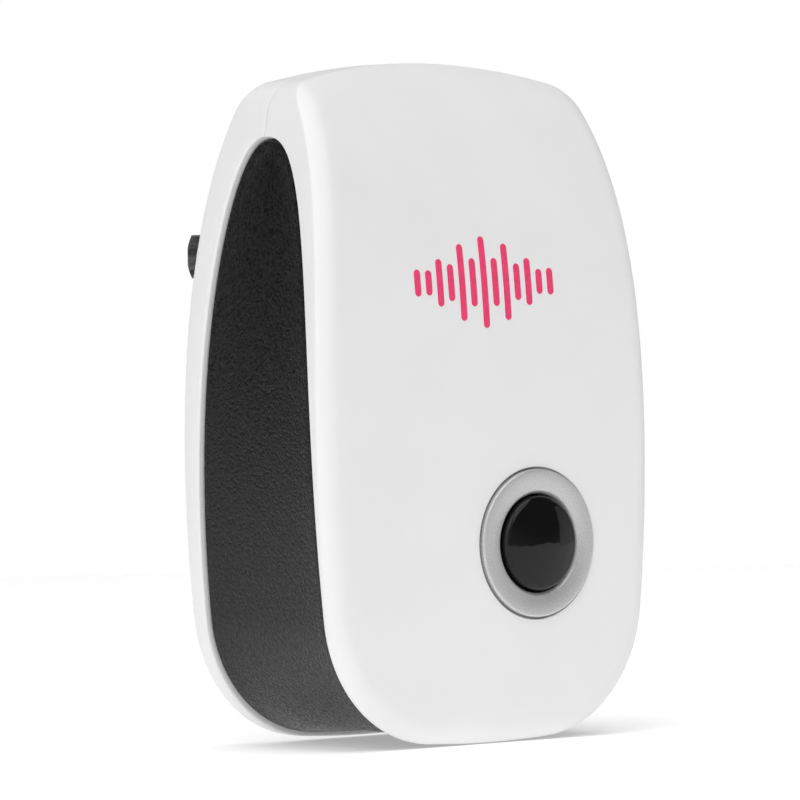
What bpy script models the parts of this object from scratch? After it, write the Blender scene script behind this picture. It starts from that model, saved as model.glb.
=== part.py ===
"""Plug-in ultrasonic pest repeller, modelled as it comes apart on a bench.

Metres, +Z up. The front looks along -Y and the wall is on the +Y side. The origin is the
centre of the plug's outlet-contact face, midway between the two blades.
"""

import bmesh
import bpy
from math import acos, asin, atan2, cos, hypot, pi, radians, sin, sqrt

MM = 0.001

# Clearances
GAP = 0.3 * MM              # between pieces that touch or face each other
TRAVEL_GAP = 0.3 * MM       # left over at the end of a moving piece's travel

# Housing outline seen from the front
BODY_WIDTH = 61.1 * MM
BODY_HEIGHT = 95.3 * MM
WIDEST_DROP = 51.9 * MM     # from the top down to the widest line
TOP_ARC_RADIUS = 96.3 * MM
SIDE_ARC_RADIUS = 241.0 * MM
BOTTOM_ARC_RADIUS = 180.0 * MM
TOP_CORNER_RADIUS = 5.0 * MM
BOTTOM_CORNER_RADIUS = 19.5 * MM

# Housing seen from the side: two arches that meet at the seam
FRONT_DEPTH = 16.1 * MM
REAR_DEPTH = 15.7 * MM
EDGE_RADIUS = 4.1 * MM
EDGE_START = 40.5            # degrees of the edge's arc left out, which leaves a crisp ridge
WALL = 2.0 * MM
INNER_EDGE_RADIUS = 1.0 * MM
ARCH_OVERSHOOT = 1.0 * MM   # the arches would close this far above the top edge
FRONT_SHAPE = (6.2, 1.34)   # power and root of each arch curve
REAR_SHAPE = (4.7, 1.81)

# Side band, a U under an arch-shaped window in the covers
BAND_APEX_DROP = 10.4 * MM
FRONT_BAND_SHAPE = (3.13, 2.43)
REAR_BAND_SHAPE = (2.75, 2.3)
FRONT_RIM = 2.25 * MM       # cover left showing between band and front face
REAR_RIM = 3.9 * MM
BAND_INSET = 0.6 * MM
BAND_THICKNESS = 1.0 * MM   # of the band behind the covers' walls
BAND_LIP = 1.2 * MM

# Sound slots in the underside of the band
SLOT_COUNT = 7
SLOT_WIDTH = 1.6 * MM
SLOT_LENGTH = 14.0 * MM
SLOT_PITCH = 3.0 * MM

# Plug, two flat blades on a boss
PLUG_DROP = 26.7 * MM       # from the top down to the blades' centre line
BOSS_STANDOFF = 10.5 * MM
BOSS_WIDTH = 26.0 * MM
BOSS_HEIGHT = 20.0 * MM
BOSS_CORNER = 4.0 * MM
BOSS_WALL = 2.0 * MM
BOSS_END_WALL = 2.5 * MM
BOSS_ROOT = 4.4 * MM        # how far the boss reaches in past the rear face
BLADE_PITCH = 12.7 * MM
BLADE_WIDTH = 6.35 * MM
BLADE_THICKNESS = 1.5 * MM
BLADE_LENGTH = 15.9 * MM
BLADE_TIP_RADIUS = 5.2 * MM
BLADE_TIP_FLAT = 2.4 * MM    # straight middle of the tip, where the mounts rest
BLADE_HOLE_RADIUS = 1.6 * MM
BLADE_HOLE_DISTANCE = 11.9 * MM
SHOULDER_HEIGHT = 9.2 * MM
SHOULDER_DEPTH = 1.5 * MM
TAB_WIDTH = 5.0 * MM
TAB_LENGTH = 5.0 * MM
HOLDER_THICKNESS = 2.5 * MM
HOLDER_SCREW_Z = 4.6 * MM
HOLDER_POST_RADIUS = 2.0 * MM

# Push button on the front
BUTTON_X = 8.3 * MM
BUTTON_HEIGHT = 27.6 * MM   # above the underside
BEZEL_RADIUS = 10.4 * MM
BEZEL_PROUD = 0.5 * MM
BEZEL_BORE = 7.0 * MM
BEZEL_COLLAR_WALL = 1.0 * MM
BEZEL_COLLAR_LENGTH = 3.1 * MM
BEZEL_SEAT = 0.8 * MM
CAP_CROWN = 1.1 * MM
CAP_PROUD = 0.4 * MM        # of the cap's rim over the ring
CAP_WALL = 1.2 * MM
CAP_FLANGE = 1.9 * MM
CAP_FLANGE_THICKNESS = 1.0 * MM
STEM_RADIUS = 1.6 * MM
BUTTON_TRAVEL = 1.5 * MM

# Push switch behind the button
SWITCH_WIDTH = 8.0 * MM
SWITCH_DEPTH = 7.0 * MM
SWITCH_WALL = 0.8 * MM
PLUNGER_RADIUS = 1.6 * MM
PLUNGER_FLANGE_RADIUS = 2.8 * MM
PLUNGER_FLANGE_THICKNESS = 0.8 * MM
PLUNGER_PIN_RADIUS = 0.7 * MM
SPRING_RADIUS = 1.6 * MM
SPRING_WIRE_RADIUS = 0.2 * MM
SPRING_TURNS = 4

# Main board
BOARD_WIDTH = 40.0 * MM
BOARD_THICKNESS = 1.6 * MM
BOARD_SCREW_X = 16.5 * MM
BOARD_SCREW_MARGIN = 4.5 * MM
STANDOFF_RADIUS = 2.8 * MM

# Case screws, from the back into the front cover
CASE_SCREW_TOP_DROP = 18.0 * MM
CASE_SCREW_HEIGHT = 14.3 * MM
CASE_TUBE_RADIUS = 3.9 * MM
CASE_POST_RADIUS = 3.0 * MM
CASE_SEAT = 6.0 * MM        # from the seam back to the screw head's seat
CASE_PILOT_DEPTH = 9.0 * MM
CASE_SHANK_RADIUS = 1.2 * MM
CASE_HEAD_RADIUS = 2.5 * MM
CASE_HEAD_HEIGHT = 1.8 * MM
CASE_ENGAGEMENT = 8.0 * MM
SMALL_SHANK_RADIUS = 0.9 * MM
SMALL_HEAD_RADIUS = 1.9 * MM
SMALL_HEAD_HEIGHT = 1.2 * MM

# Sounder over the slots
SPEAKER_RADIUS = 11.0 * MM
SPEAKER_HEIGHT = 9.0 * MM
SPEAKER_WALL = 1.2 * MM
SPEAKER_LEDGE = 1.6 * MM
SPEAKER_LEDGE_HEIGHT = 2.5 * MM
DISC_THICKNESS = 0.4 * MM
CERAMIC_RADIUS = 6.5 * MM
SPEAKER_PORT = 3.0 * MM

# Rating label on the back
LABEL_WIDTH = 34.0 * MM
LABEL_HEIGHT = 18.0 * MM
LABEL_THICKNESS = 0.3 * MM
LABEL_RECESS = 0.45 * MM
LABEL_CORNER = 2.0 * MM
LABEL_DROP = 7.0 * MM       # from the plug boss down to the label

WIRE_RADIUS = 0.6 * MM

# Places that follow from the sizes above
SEAM_Y = -(REAR_DEPTH + BOSS_STANDOFF)
FACE_Y = SEAM_Y - FRONT_DEPTH
TOP_Z = PLUG_DROP
BOTTOM_Z = TOP_Z - BODY_HEIGHT
WIDEST_Z = TOP_Z - WIDEST_DROP
OUTER_EDGE = (EDGE_RADIUS, EDGE_START)
INNER_EDGE = (INNER_EDGE_RADIUS, 0.0)
BAND_FRONT = FRONT_DEPTH - FRONT_RIM
BAND_REAR = REAR_DEPTH - REAR_RIM
BUTTON_Z = BOTTOM_Z + BUTTON_HEIGHT

CAP_RADIUS = BEZEL_BORE - GAP
COLLAR_RADIUS = BEZEL_BORE + BEZEL_COLLAR_WALL
FLANGE_FRONT = BEZEL_COLLAR_LENGTH + GAP
FLANGE_BACK = FLANGE_FRONT + CAP_FLANGE_THICKNESS
SWITCH_FRONT = FLANGE_BACK + BUTTON_TRAVEL + TRAVEL_GAP
SWITCH_BACK = SWITCH_FRONT + SWITCH_DEPTH
PLUNGER_TIP = SWITCH_FRONT - BUTTON_TRAVEL - TRAVEL_GAP - GAP
STEM_END = PLUNGER_TIP - GAP
BOARD_FRONT = SWITCH_BACK + GAP
BOARD_BACK = BOARD_FRONT + BOARD_THICKNESS
BOARD_FRONT_Y = FACE_Y + BOARD_FRONT
BOARD_BACK_Y = FACE_Y + BOARD_BACK
PART_Y = BOARD_BACK_Y + GAP   # where the components stand on the board

CASE_TOP_Z = TOP_Z - CASE_SCREW_TOP_DROP
CASE_BOTTOM_Z = BOTTOM_Z + CASE_SCREW_HEIGHT
BOARD_TOP_Z = CASE_TOP_Z - CASE_TUBE_RADIUS - GAP
BOARD_BOTTOM_Z = CASE_BOTTOM_Z + CASE_TUBE_RADIUS + GAP
LABEL_Z = -BOSS_HEIGHT / 2 - LABEL_DROP - LABEL_HEIGHT / 2

# Turned pieces stand on their own +Z, which these rotations point to the front, back and side
TO_FRONT = (pi / 2, 0.0, 0.0)
TO_BACK = (-pi / 2, 0.0, 0.0)
TO_RIGHT = (0.0, pi / 2, 0.0)
UPRIGHT = (0.0, 0.0, 0.0)
# Flat outlines drawn as (x, z) or (y, z)
FACING_FRONT = (pi / 2, 0.0, 0.0)
FACING_SIDE = (pi / 2, 0.0, pi / 2)


def clear_scene():
    for item in list(bpy.data.objects):
        bpy.data.objects.remove(item, do_unlink=True)


def new_collection(name):
    collection = bpy.data.collections.new(name)
    bpy.context.scene.collection.children.link(collection)
    return collection


def paint(name, color, roughness, metallic=0.0):
    material = bpy.data.materials.new(name)
    material.use_nodes = True
    shader = material.node_tree.nodes["Principled BSDF"]
    shader.inputs["Base Color"].default_value = (*color, 1.0)
    shader.inputs["Roughness"].default_value = roughness
    shader.inputs["Metallic"].default_value = metallic
    material.diffuse_color = (*color, 1.0)
    return material


clear_scene()
PARTS = new_collection("pest_repeller")
CUTTERS = new_collection("cutters")

WHITE = paint("white_abs", (0.83, 0.83, 0.83), 0.35)
BLACK = paint("black_abs", (0.025, 0.025, 0.027), 0.55)
GLOSS = paint("black_gloss", (0.008, 0.008, 0.009), 0.08)
SILVER = paint("satin_silver", (0.62, 0.62, 0.63), 0.35, 0.9)
NICKEL = paint("nickel", (0.45, 0.44, 0.42), 0.3, 1.0)
STEEL = paint("zinc_steel", (0.5, 0.5, 0.5), 0.35, 1.0)
BRASS = paint("brass", (0.7, 0.5, 0.2), 0.35, 1.0)
CERAMIC = paint("ceramic", (0.8, 0.78, 0.7), 0.5)
LAMINATE = paint("board_laminate", (0.05, 0.2, 0.07), 0.5)
YELLOW = paint("yellow_film", (0.75, 0.5, 0.05), 0.45)
SLEEVE = paint("capacitor_sleeve", (0.02, 0.03, 0.08), 0.4)
EPOXY = paint("black_epoxy", (0.02, 0.02, 0.02), 0.6)
FERRITE = paint("ferrite", (0.07, 0.07, 0.07), 0.7)
RESISTOR = paint("resistor_coat", (0.2, 0.35, 0.4), 0.5)
LENS = paint("led_lens", (0.25, 0.35, 0.8), 0.15)
RED_PVC = paint("red_pvc", (0.5, 0.02, 0.02), 0.45)
BLACK_PVC = paint("black_pvc", (0.02, 0.02, 0.02), 0.45)
LABEL = paint("label_film", (0.7, 0.7, 0.7), 0.4)


# ---------------------------------------------------------------- object helpers

def place(name, mesh, material, location=(0, 0, 0), rotation=UPRIGHT, collection=None):
    item = bpy.data.objects.new(name, mesh)
    item.location = location
    item.rotation_euler = rotation
    (collection or PARTS).objects.link(item)
    if material:
        mesh.materials.append(material)
    return item


def cutter(name, mesh, location=(0, 0, 0), rotation=UPRIGHT):
    item = place(name, mesh, None, location, rotation, CUTTERS)
    item.hide_render = True
    item.display_type = "WIRE"
    return item


def combine(target, tool, operation):
    step = target.modifiers.new(operation.lower(), "BOOLEAN")
    step.operation = operation
    step.solver = "EXACT"
    step.object = tool


def cut(target, tool):
    combine(target, tool, "DIFFERENCE")


def join(target, tool):
    combine(target, tool, "UNION")


def keep_inside(target, tool):
    combine(target, tool, "INTERSECT")


def to_mesh(bm, name):
    bmesh.ops.recalc_face_normals(bm, faces=bm.faces)
    mesh = bpy.data.meshes.new(name)
    bm.to_mesh(mesh)
    bm.free()
    return mesh


def box_mesh(size_x, size_y, size_z):
    bm = bmesh.new()
    bmesh.ops.create_cube(bm, size=1.0)
    bmesh.ops.scale(bm, vec=(size_x, size_y, size_z), verts=bm.verts)
    return to_mesh(bm, "box")


def rod_mesh(radius, length, segments=20):
    """A cylinder that stands on its own origin, along its +Z."""
    bm = bmesh.new()
    bmesh.ops.create_cone(bm, cap_ends=True, segments=segments, radius1=radius,
                          radius2=radius, depth=length)
    bmesh.ops.translate(bm, vec=(0, 0, length / 2), verts=bm.verts)
    return to_mesh(bm, "rod")


def mesh_from_curve(curve):
    """The curve's solid as a mesh with its caps welded on."""
    holder = bpy.data.objects.new(curve.name, curve)
    bpy.context.scene.collection.objects.link(holder)
    bpy.context.view_layer.update()
    evaluated = holder.evaluated_get(bpy.context.evaluated_depsgraph_get())
    mesh = bpy.data.meshes.new_from_object(evaluated)
    bpy.data.objects.remove(holder, do_unlink=True)
    bm = bmesh.new()
    bm.from_mesh(mesh)
    bmesh.ops.remove_doubles(bm, verts=bm.verts, dist=0.002 * MM)
    bpy.data.meshes.remove(mesh)
    return to_mesh(bm, curve.name)


def plate_mesh(outline, thickness):
    """A flat plate: the outline in the local XY plane, half the thickness to each side."""
    curve = bpy.data.curves.new("plate", "CURVE")
    curve.dimensions = "2D"
    curve.fill_mode = "BOTH"
    curve.extrude = thickness / 2
    spline = curve.splines.new("POLY")
    spline.points.add(len(outline) - 1)
    for point, (u, v) in zip(spline.points, outline):
        point.co = (u, v, 0, 1)
    spline.use_cyclic_u = True
    return mesh_from_curve(curve)


def wire_mesh(points, radius, resolution=1):
    curve = bpy.data.curves.new("wire", "CURVE")
    curve.dimensions = "3D"
    curve.bevel_depth = radius
    curve.bevel_resolution = resolution
    curve.use_fill_caps = True
    spline = curve.splines.new("POLY")
    spline.points.add(len(points) - 1)
    for point, place_at in zip(spline.points, points):
        point.co = (*place_at, 1)
    return mesh_from_curve(curve)


def turned(name, profile, material, location, rotation, closed=False, steps=32):
    """A profile of (radius, height) turned round the local Z axis, outer side top to bottom."""
    bm = bmesh.new()
    points = [bm.verts.new((radius, 0, height)) for radius, height in profile]
    for start, end in zip(points, points[1:]):
        bm.edges.new((start, end))
    if closed:
        bm.edges.new((points[-1], points[0]))
    mesh = bpy.data.meshes.new(name)
    bm.to_mesh(mesh)
    bm.free()
    item = place(name, mesh, material, location, rotation)
    screw = item.modifiers.new("turn", "SCREW")
    screw.steps = screw.render_steps = steps
    screw.use_merge_vertices = True
    screw.merge_threshold = 0.002 * MM
    screw.use_smooth_shade = True
    return item


def rounded_rectangle(width, height, corner, steps=4):
    points = []
    for quarter in range(4):
        side_x = 1 if quarter in (0, 3) else -1
        side_y = 1 if quarter in (0, 1) else -1
        for step in range(steps + 1):
            angle = pi / 2 * (quarter + step / steps)
            points.append((side_x * (width / 2 - corner) + corner * cos(angle),
                           side_y * (height / 2 - corner) + corner * sin(angle)))
    return points


# ---------------------------------------------------------------- housing shape

def corner_centre(arc_1, radius_1, arc_2, radius_2, corner):
    """Centre, on the right, of the corner arc that touches both arcs from inside."""
    reach_1, reach_2 = radius_1 - corner, radius_2 - corner
    run_x, run_z = arc_2[0] - arc_1[0], arc_2[1] - arc_1[1]
    span = hypot(run_x, run_z)
    along = (reach_1 ** 2 - reach_2 ** 2 + span ** 2) / (2 * span)
    across = sqrt(reach_1 ** 2 - along ** 2)
    foot_x, foot_z = arc_1[0] + along * run_x / span, arc_1[1] + along * run_z / span
    answers = [(foot_x + side * across * run_z / span, foot_z - side * across * run_x / span)
               for side in (1, -1)]
    return max(answers)


def outline_arcs():
    """The right half of the outline from top to bottom: centre, radius and angles of each arc."""
    top = (0.0, TOP_Z - TOP_ARC_RADIUS)
    side = (BODY_WIDTH / 2 - SIDE_ARC_RADIUS, WIDEST_Z)
    bottom = (0.0, BOTTOM_Z + BOTTOM_ARC_RADIUS)
    upper = corner_centre(side, SIDE_ARC_RADIUS, top, TOP_ARC_RADIUS, TOP_CORNER_RADIUS)
    lower = corner_centre(side, SIDE_ARC_RADIUS, bottom, BOTTOM_ARC_RADIUS, BOTTOM_CORNER_RADIUS)
    turn_1 = atan2(upper[1] - top[1], upper[0] - top[0])
    turn_2 = atan2(upper[1] - side[1], upper[0] - side[0])
    turn_3 = atan2(lower[1] - side[1], lower[0] - side[0])
    turn_4 = atan2(lower[1] - bottom[1], lower[0] - bottom[0])
    return [(top, TOP_ARC_RADIUS, pi / 2, turn_1, 5), (upper, TOP_CORNER_RADIUS, turn_1, turn_2, 4),
            (side, SIDE_ARC_RADIUS, turn_2, turn_3, 11), (lower, BOTTOM_CORNER_RADIUS, turn_3, turn_4, 7),
            (bottom, BOTTOM_ARC_RADIUS, turn_4, -pi / 2, 3)]


def outline(inset):
    """The housing's outline as (x, z), inset from its widest size, from the top clockwise."""
    right = []
    for centre, radius, start, end, steps in outline_arcs():
        for step in range(steps):
            angle = start + (end - start) * step / steps
            right.append((centre[0] + (radius - inset) * cos(angle),
                          centre[1] + (radius - inset) * sin(angle)))
    right[0] = (0.0, TOP_Z - inset)
    left = [(-x, z) for x, z in reversed(right[1:])]
    return right + [(0.0, BOTTOM_Z + inset)] + left


def half_width(z, inset=0.0):
    """Half the housing's width at a height."""
    points = outline(inset)
    right = points[:len(points) // 2 + 1]
    for (x_1, z_1), (x_2, z_2) in zip(right, right[1:]):
        if z_2 <= z <= z_1:
            return x_1 + (x_2 - x_1) * (z_1 - z) / (z_1 - z_2)
    return 0.0


def arch(z, depth, apex_z, shape):
    """Distance of an arch's curve from the seam at a height: all of depth at the underside."""
    power, root = shape
    rise = min(max((z - BOTTOM_Z) / (apex_z - BOTTOM_Z), 0.0), 1.0)
    return depth * (1 - rise ** power) ** (1 / root)


def front_depth(z):
    return arch(z, FRONT_DEPTH, TOP_Z + ARCH_OVERSHOOT, FRONT_SHAPE)


def rear_depth(z):
    return arch(z, REAR_DEPTH, TOP_Z + ARCH_OVERSHOOT, REAR_SHAPE)


def housing_mesh(inset, shrink, edge, steps):
    """The whole housing as one solid, its outline inset and its arches shrunk.

    The edge is an arc's radius and the degrees of it that are left out beside the side wall.
    """
    edge_radius, start = edge[0], radians(edge[1])
    bm = bmesh.new()
    rings = []
    for side, depth_of in ((1, rear_depth), (-1, front_depth)):
        half = []
        for step in range(steps + 1):
            angle = start + (pi / 2 - start) * step / steps
            ring = []
            for x, z in outline(inset + edge_radius * (cos(start) - cos(angle))):
                depth = max(depth_of(z) - shrink, 0.3 * MM)
                radius = min(edge_radius, 0.8 * depth)
                ring.append(bm.verts.new((x, SEAM_Y + side * (depth - radius * (1 - sin(angle))), z)))
            half.append(ring)
        rings += half[::-1] if side > 0 else half
    for ring_1, ring_2 in zip(rings, rings[1:]):
        for index in range(len(ring_1)):
            bm.faces.new((ring_1[index - 1], ring_1[index], ring_2[index], ring_2[index - 1]))
    bmesh.ops.triangulate(bm, faces=bm.faces)
    for ring in (rings[0], rings[-1]):
        count = len(ring) // 2
        for index in range(count):
            strip = [ring[index], ring[index + 1], ring[-index - 1], ring[-index]]
            bm.faces.new(list(dict.fromkeys(strip)))
    return to_mesh(bm, "housing")


def half_housing_mesh(side, inset, shrink, edge, steps, cut_y):
    """The part of the housing solid in front of (side -1) or behind (side 1) a plane."""
    bm = bmesh.new()
    bm.from_mesh(housing_mesh(inset, shrink, edge, steps))
    cutting = bmesh.ops.bisect_plane(bm, geom=bm.verts[:] + bm.edges[:] + bm.faces[:],
                                     plane_co=(0, cut_y, 0), plane_no=(0, side, 0), clear_inner=True)
    rim = [item for item in cutting["geom_cut"] if isinstance(item, bmesh.types.BMEdge)]
    bmesh.ops.holes_fill(bm, edges=rim, sides=0)
    return to_mesh(bm, "half_housing")


def window_mesh(grow):
    """The arch-shaped window's prism along X, grown all round."""
    apex_z = TOP_Z - BAND_APEX_DROP + grow
    low_z = BOTTOM_Z - 6 * MM
    steps = 18
    heights = [apex_z - (apex_z - low_z) * (step / steps) ** 2 for step in range(1, steps + 1)]
    front = [(SEAM_Y - arch(z, BAND_FRONT + grow, apex_z, FRONT_BAND_SHAPE), z) for z in heights]
    rear = [(SEAM_Y + arch(z, BAND_REAR + grow, apex_z, REAR_BAND_SHAPE), z) for z in heights]
    return plate_mesh([(SEAM_Y, apex_z)] + rear + front[::-1], 2 * BODY_WIDTH)


def housing_shell(name, side):
    """A hollow cover with its arch-shaped side window."""
    rim_y = SEAM_Y + side * GAP / 2
    cover = place(name, half_housing_mesh(side, 0.0, 0.0, OUTER_EDGE, 3, rim_y), WHITE)
    hollow = half_housing_mesh(side, WALL, WALL, INNER_EDGE, 2, SEAM_Y - side * 2 * MM)
    cut(cover, cutter(name + "_hollow", hollow))
    cut(cover, cutter(name + "_window", window_mesh(0.0), rotation=FACING_SIDE))
    return cover


def within_wall(name, side, mesh, location, rotation):
    """A boss whose end follows the cover's wall instead of passing through it."""
    boss = cutter(name, mesh, location, rotation)
    limit = half_housing_mesh(side, WALL / 2, WALL / 2, INNER_EDGE, 2, SEAM_Y - side * 2 * MM)
    keep_inside(boss, cutter(name + "_limit", limit))
    return boss


# ---------------------------------------------------------------- places of the fasteners

def case_screw_places():
    reach = WALL + GAP + BAND_THICKNESS + GAP + CASE_TUBE_RADIUS
    return [(side * half_width(z, reach), z) for z in (CASE_TOP_Z, CASE_BOTTOM_Z) for side in (-1, 1)]


def board_screw_places():
    return [(-BOARD_SCREW_X, BOARD_BOTTOM_Z + BOARD_SCREW_MARGIN),
            (BOARD_SCREW_X, BOARD_TOP_Z - BOARD_SCREW_MARGIN)]


def screw(name, shank_radius, head_radius, head_height, length, location, rotation):
    """A pan-head screw: origin under the head, head along its +Z, with a drive recess."""
    recess = head_radius * 0.35
    profile = [(0, head_height * 0.4), (recess, head_height * 0.4), (recess, head_height),
               (head_radius * 0.8, head_height), (head_radius, head_height * 0.6), (head_radius, 0),
               (shank_radius, 0), (shank_radius, -length + shank_radius), (0, -length)]
    return turned(name, profile, STEEL, location, rotation, steps=12)


# ---------------------------------------------------------------- covers and band

def front_cover():
    cover = housing_shell("front_cover", -1)
    for index, (x, z) in enumerate(case_screw_places()):
        post = rod_mesh(CASE_POST_RADIUS, FRONT_DEPTH)
        start_y = SEAM_Y - GAP / 2
        join(cover, within_wall(f"front_post_{index}", -1, post, (x, start_y, z), TO_FRONT))
        pilot = rod_mesh(CASE_SHANK_RADIUS + GAP, CASE_PILOT_DEPTH + 2 * MM, 12)
        cut(cover, cutter(f"front_pilot_{index}", pilot, (x, SEAM_Y + 2 * MM, z), TO_FRONT))
    for index, (x, z) in enumerate(board_screw_places()):
        start_y = BOARD_FRONT_Y - GAP
        post = rod_mesh(STANDOFF_RADIUS, FRONT_DEPTH)
        join(cover, within_wall(f"standoff_{index}", -1, post, (x, start_y, z), TO_FRONT))
        pilot = rod_mesh(SMALL_SHANK_RADIUS + GAP, 6 * MM, 12)
        cut(cover, cutter(f"standoff_pilot_{index}", pilot, (x, start_y + 1 * MM, z), TO_FRONT))
    seat = rod_mesh(BEZEL_RADIUS + GAP, 5 * MM, 48)
    seat_y = FACE_Y + BEZEL_SEAT + GAP
    cut(cover, cutter("bezel_seat", seat, (BUTTON_X, seat_y, BUTTON_Z), TO_FRONT))
    hole = rod_mesh(COLLAR_RADIUS + GAP, 10 * MM, 48)
    cut(cover, cutter("button_hole", hole, (BUTTON_X, FACE_Y + 5 * MM, BUTTON_Z), TO_FRONT))


def rear_cover():
    cover = housing_shell("rear_cover", 1)
    boss_y = -BOSS_STANDOFF - BOSS_ROOT
    boss = plate_mesh(rounded_rectangle(BOSS_WIDTH, BOSS_HEIGHT, BOSS_CORNER), -boss_y)
    join(cover, cutter("plug_boss", boss, (0, boss_y / 2, 0), FACING_FRONT))
    inner_corner = BOSS_CORNER - BOSS_WALL
    hollow = plate_mesh(rounded_rectangle(BOSS_WIDTH - 2 * BOSS_WALL, BOSS_HEIGHT - 2 * BOSS_WALL,
                                          inner_corner), REAR_DEPTH)
    hollow_y = -BOSS_END_WALL - REAR_DEPTH / 2
    cut(cover, cutter("boss_hollow", hollow, (0, hollow_y, 0), FACING_FRONT))
    shoulder_back = BOSS_END_WALL + GAP + SHOULDER_DEPTH
    for index, side in enumerate((-1, 1)):
        slot = box_mesh(BLADE_THICKNESS + 2 * GAP, 10 * MM, BLADE_WIDTH + 2 * GAP)
        cut(cover, cutter(f"blade_slot_{index}", slot, (side * BLADE_PITCH / 2, 0, 0)))
        post = rod_mesh(HOLDER_POST_RADIUS, shoulder_back - BOSS_END_WALL + 1 * MM, 16)
        post_at = (0, -BOSS_END_WALL + 1 * MM, side * HOLDER_SCREW_Z)
        join(cover, cutter(f"holder_post_{index}", post, post_at, TO_FRONT))
        pilot = rod_mesh(SMALL_SHANK_RADIUS + GAP, 10 * MM, 12)
        pilot_at = (0, -BOSS_END_WALL / 2, side * HOLDER_SCREW_Z)
        cut(cover, cutter(f"holder_pilot_{index}", pilot, pilot_at, TO_FRONT))
    for index, (x, z) in enumerate(case_screw_places()):
        start_y = SEAM_Y + GAP / 2
        tube = rod_mesh(CASE_TUBE_RADIUS, REAR_DEPTH, 24)
        join(cover, within_wall(f"rear_tube_{index}", 1, tube, (x, start_y, z), TO_BACK))
        hole = rod_mesh(CASE_SHANK_RADIUS + GAP, 12 * MM, 12)
        cut(cover, cutter(f"rear_hole_{index}", hole, (x, SEAM_Y - 2 * MM, z), TO_BACK))
        well = rod_mesh(CASE_HEAD_RADIUS + GAP, 2 * REAR_DEPTH, 20)
        cut(cover, cutter(f"screw_well_{index}", well, (x, SEAM_Y + CASE_SEAT, z), TO_BACK))
    recess = plate_mesh(rounded_rectangle(LABEL_WIDTH + 2 * GAP, LABEL_HEIGHT + 2 * GAP,
                                          LABEL_CORNER + GAP), 4 * MM)
    recess_y = SEAM_Y + REAR_DEPTH - LABEL_RECESS + 2 * MM
    cut(cover, cutter("label_recess", recess, (0, recess_y, LABEL_Z), FACING_FRONT))


def rating_label():
    mesh = plate_mesh(rounded_rectangle(LABEL_WIDTH, LABEL_HEIGHT, LABEL_CORNER), LABEL_THICKNESS)
    y = SEAM_Y + REAR_DEPTH - LABEL_RECESS + GAP + LABEL_THICKNESS / 2
    place("rating_label", mesh, LABEL, (0, y, LABEL_Z), FACING_FRONT)


def side_band():
    """A U of two layers: a strip that fills the window and a lip behind the covers' walls."""
    deep = 4 * FRONT_DEPTH
    band = place("side_band", plate_mesh(outline(BAND_INSET), deep), BLACK, (0, SEAM_Y, 0),
                 FACING_FRONT)
    keep_inside(band, cutter("band_window", window_mesh(-GAP), rotation=FACING_SIDE))
    lip = cutter("band_lip", housing_mesh(WALL + GAP, WALL + GAP, INNER_EDGE, 2))
    keep_inside(lip, cutter("lip_window", window_mesh(BAND_LIP), rotation=FACING_SIDE))
    join(band, lip)
    hollow = plate_mesh(outline(WALL + GAP + BAND_THICKNESS), 2 * deep)
    cut(band, cutter("band_hollow", hollow, (0, SEAM_Y, 0), FACING_FRONT))
    for index in range(SLOT_COUNT):
        slot = box_mesh(SLOT_WIDTH, SLOT_LENGTH, 12 * MM)
        x = (index - (SLOT_COUNT - 1) / 2) * SLOT_PITCH
        cut(band, cutter(f"sound_slot_{index}", slot, (x, speaker_y(), BOTTOM_Z)))


# ---------------------------------------------------------------- button and switch

def button():
    """Heights are counted from the front face, outwards."""
    at = (BUTTON_X, FACE_Y, BUTTON_Z)
    outer = BEZEL_RADIUS
    round_off = 0.35 * MM
    turned("button_bezel", [
        (BEZEL_BORE + round_off, BEZEL_PROUD), (outer - round_off, BEZEL_PROUD),
        (outer, BEZEL_PROUD - round_off), (outer, -BEZEL_SEAT), (COLLAR_RADIUS, -BEZEL_SEAT),
        (COLLAR_RADIUS, -BEZEL_COLLAR_LENGTH), (BEZEL_BORE, -BEZEL_COLLAR_LENGTH),
        (BEZEL_BORE, BEZEL_PROUD - round_off)], SILVER, at, TO_FRONT, closed=True, steps=48)
    rim = BEZEL_PROUD + CAP_PROUD
    ball = (CAP_RADIUS ** 2 + CAP_CROWN ** 2) / (2 * CAP_CROWN)
    sweep = acos(1 - CAP_CROWN / ball)
    dome = [(ball * sin(sweep * step / 6), rim + CAP_CROWN - ball * (1 - cos(sweep * step / 6)))
            for step in range(7)]
    inside = CAP_RADIUS - CAP_WALL
    roof = rim - CAP_WALL
    turned("button_cap", dome + [
        (CAP_RADIUS, -FLANGE_FRONT), (CAP_RADIUS + CAP_FLANGE, -FLANGE_FRONT),
        (CAP_RADIUS + CAP_FLANGE, -FLANGE_BACK), (inside, -FLANGE_BACK), (inside, roof),
        (STEM_RADIUS, roof), (STEM_RADIUS, -STEM_END), (0, -STEM_END)], GLOSS, at, TO_FRONT)


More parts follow.
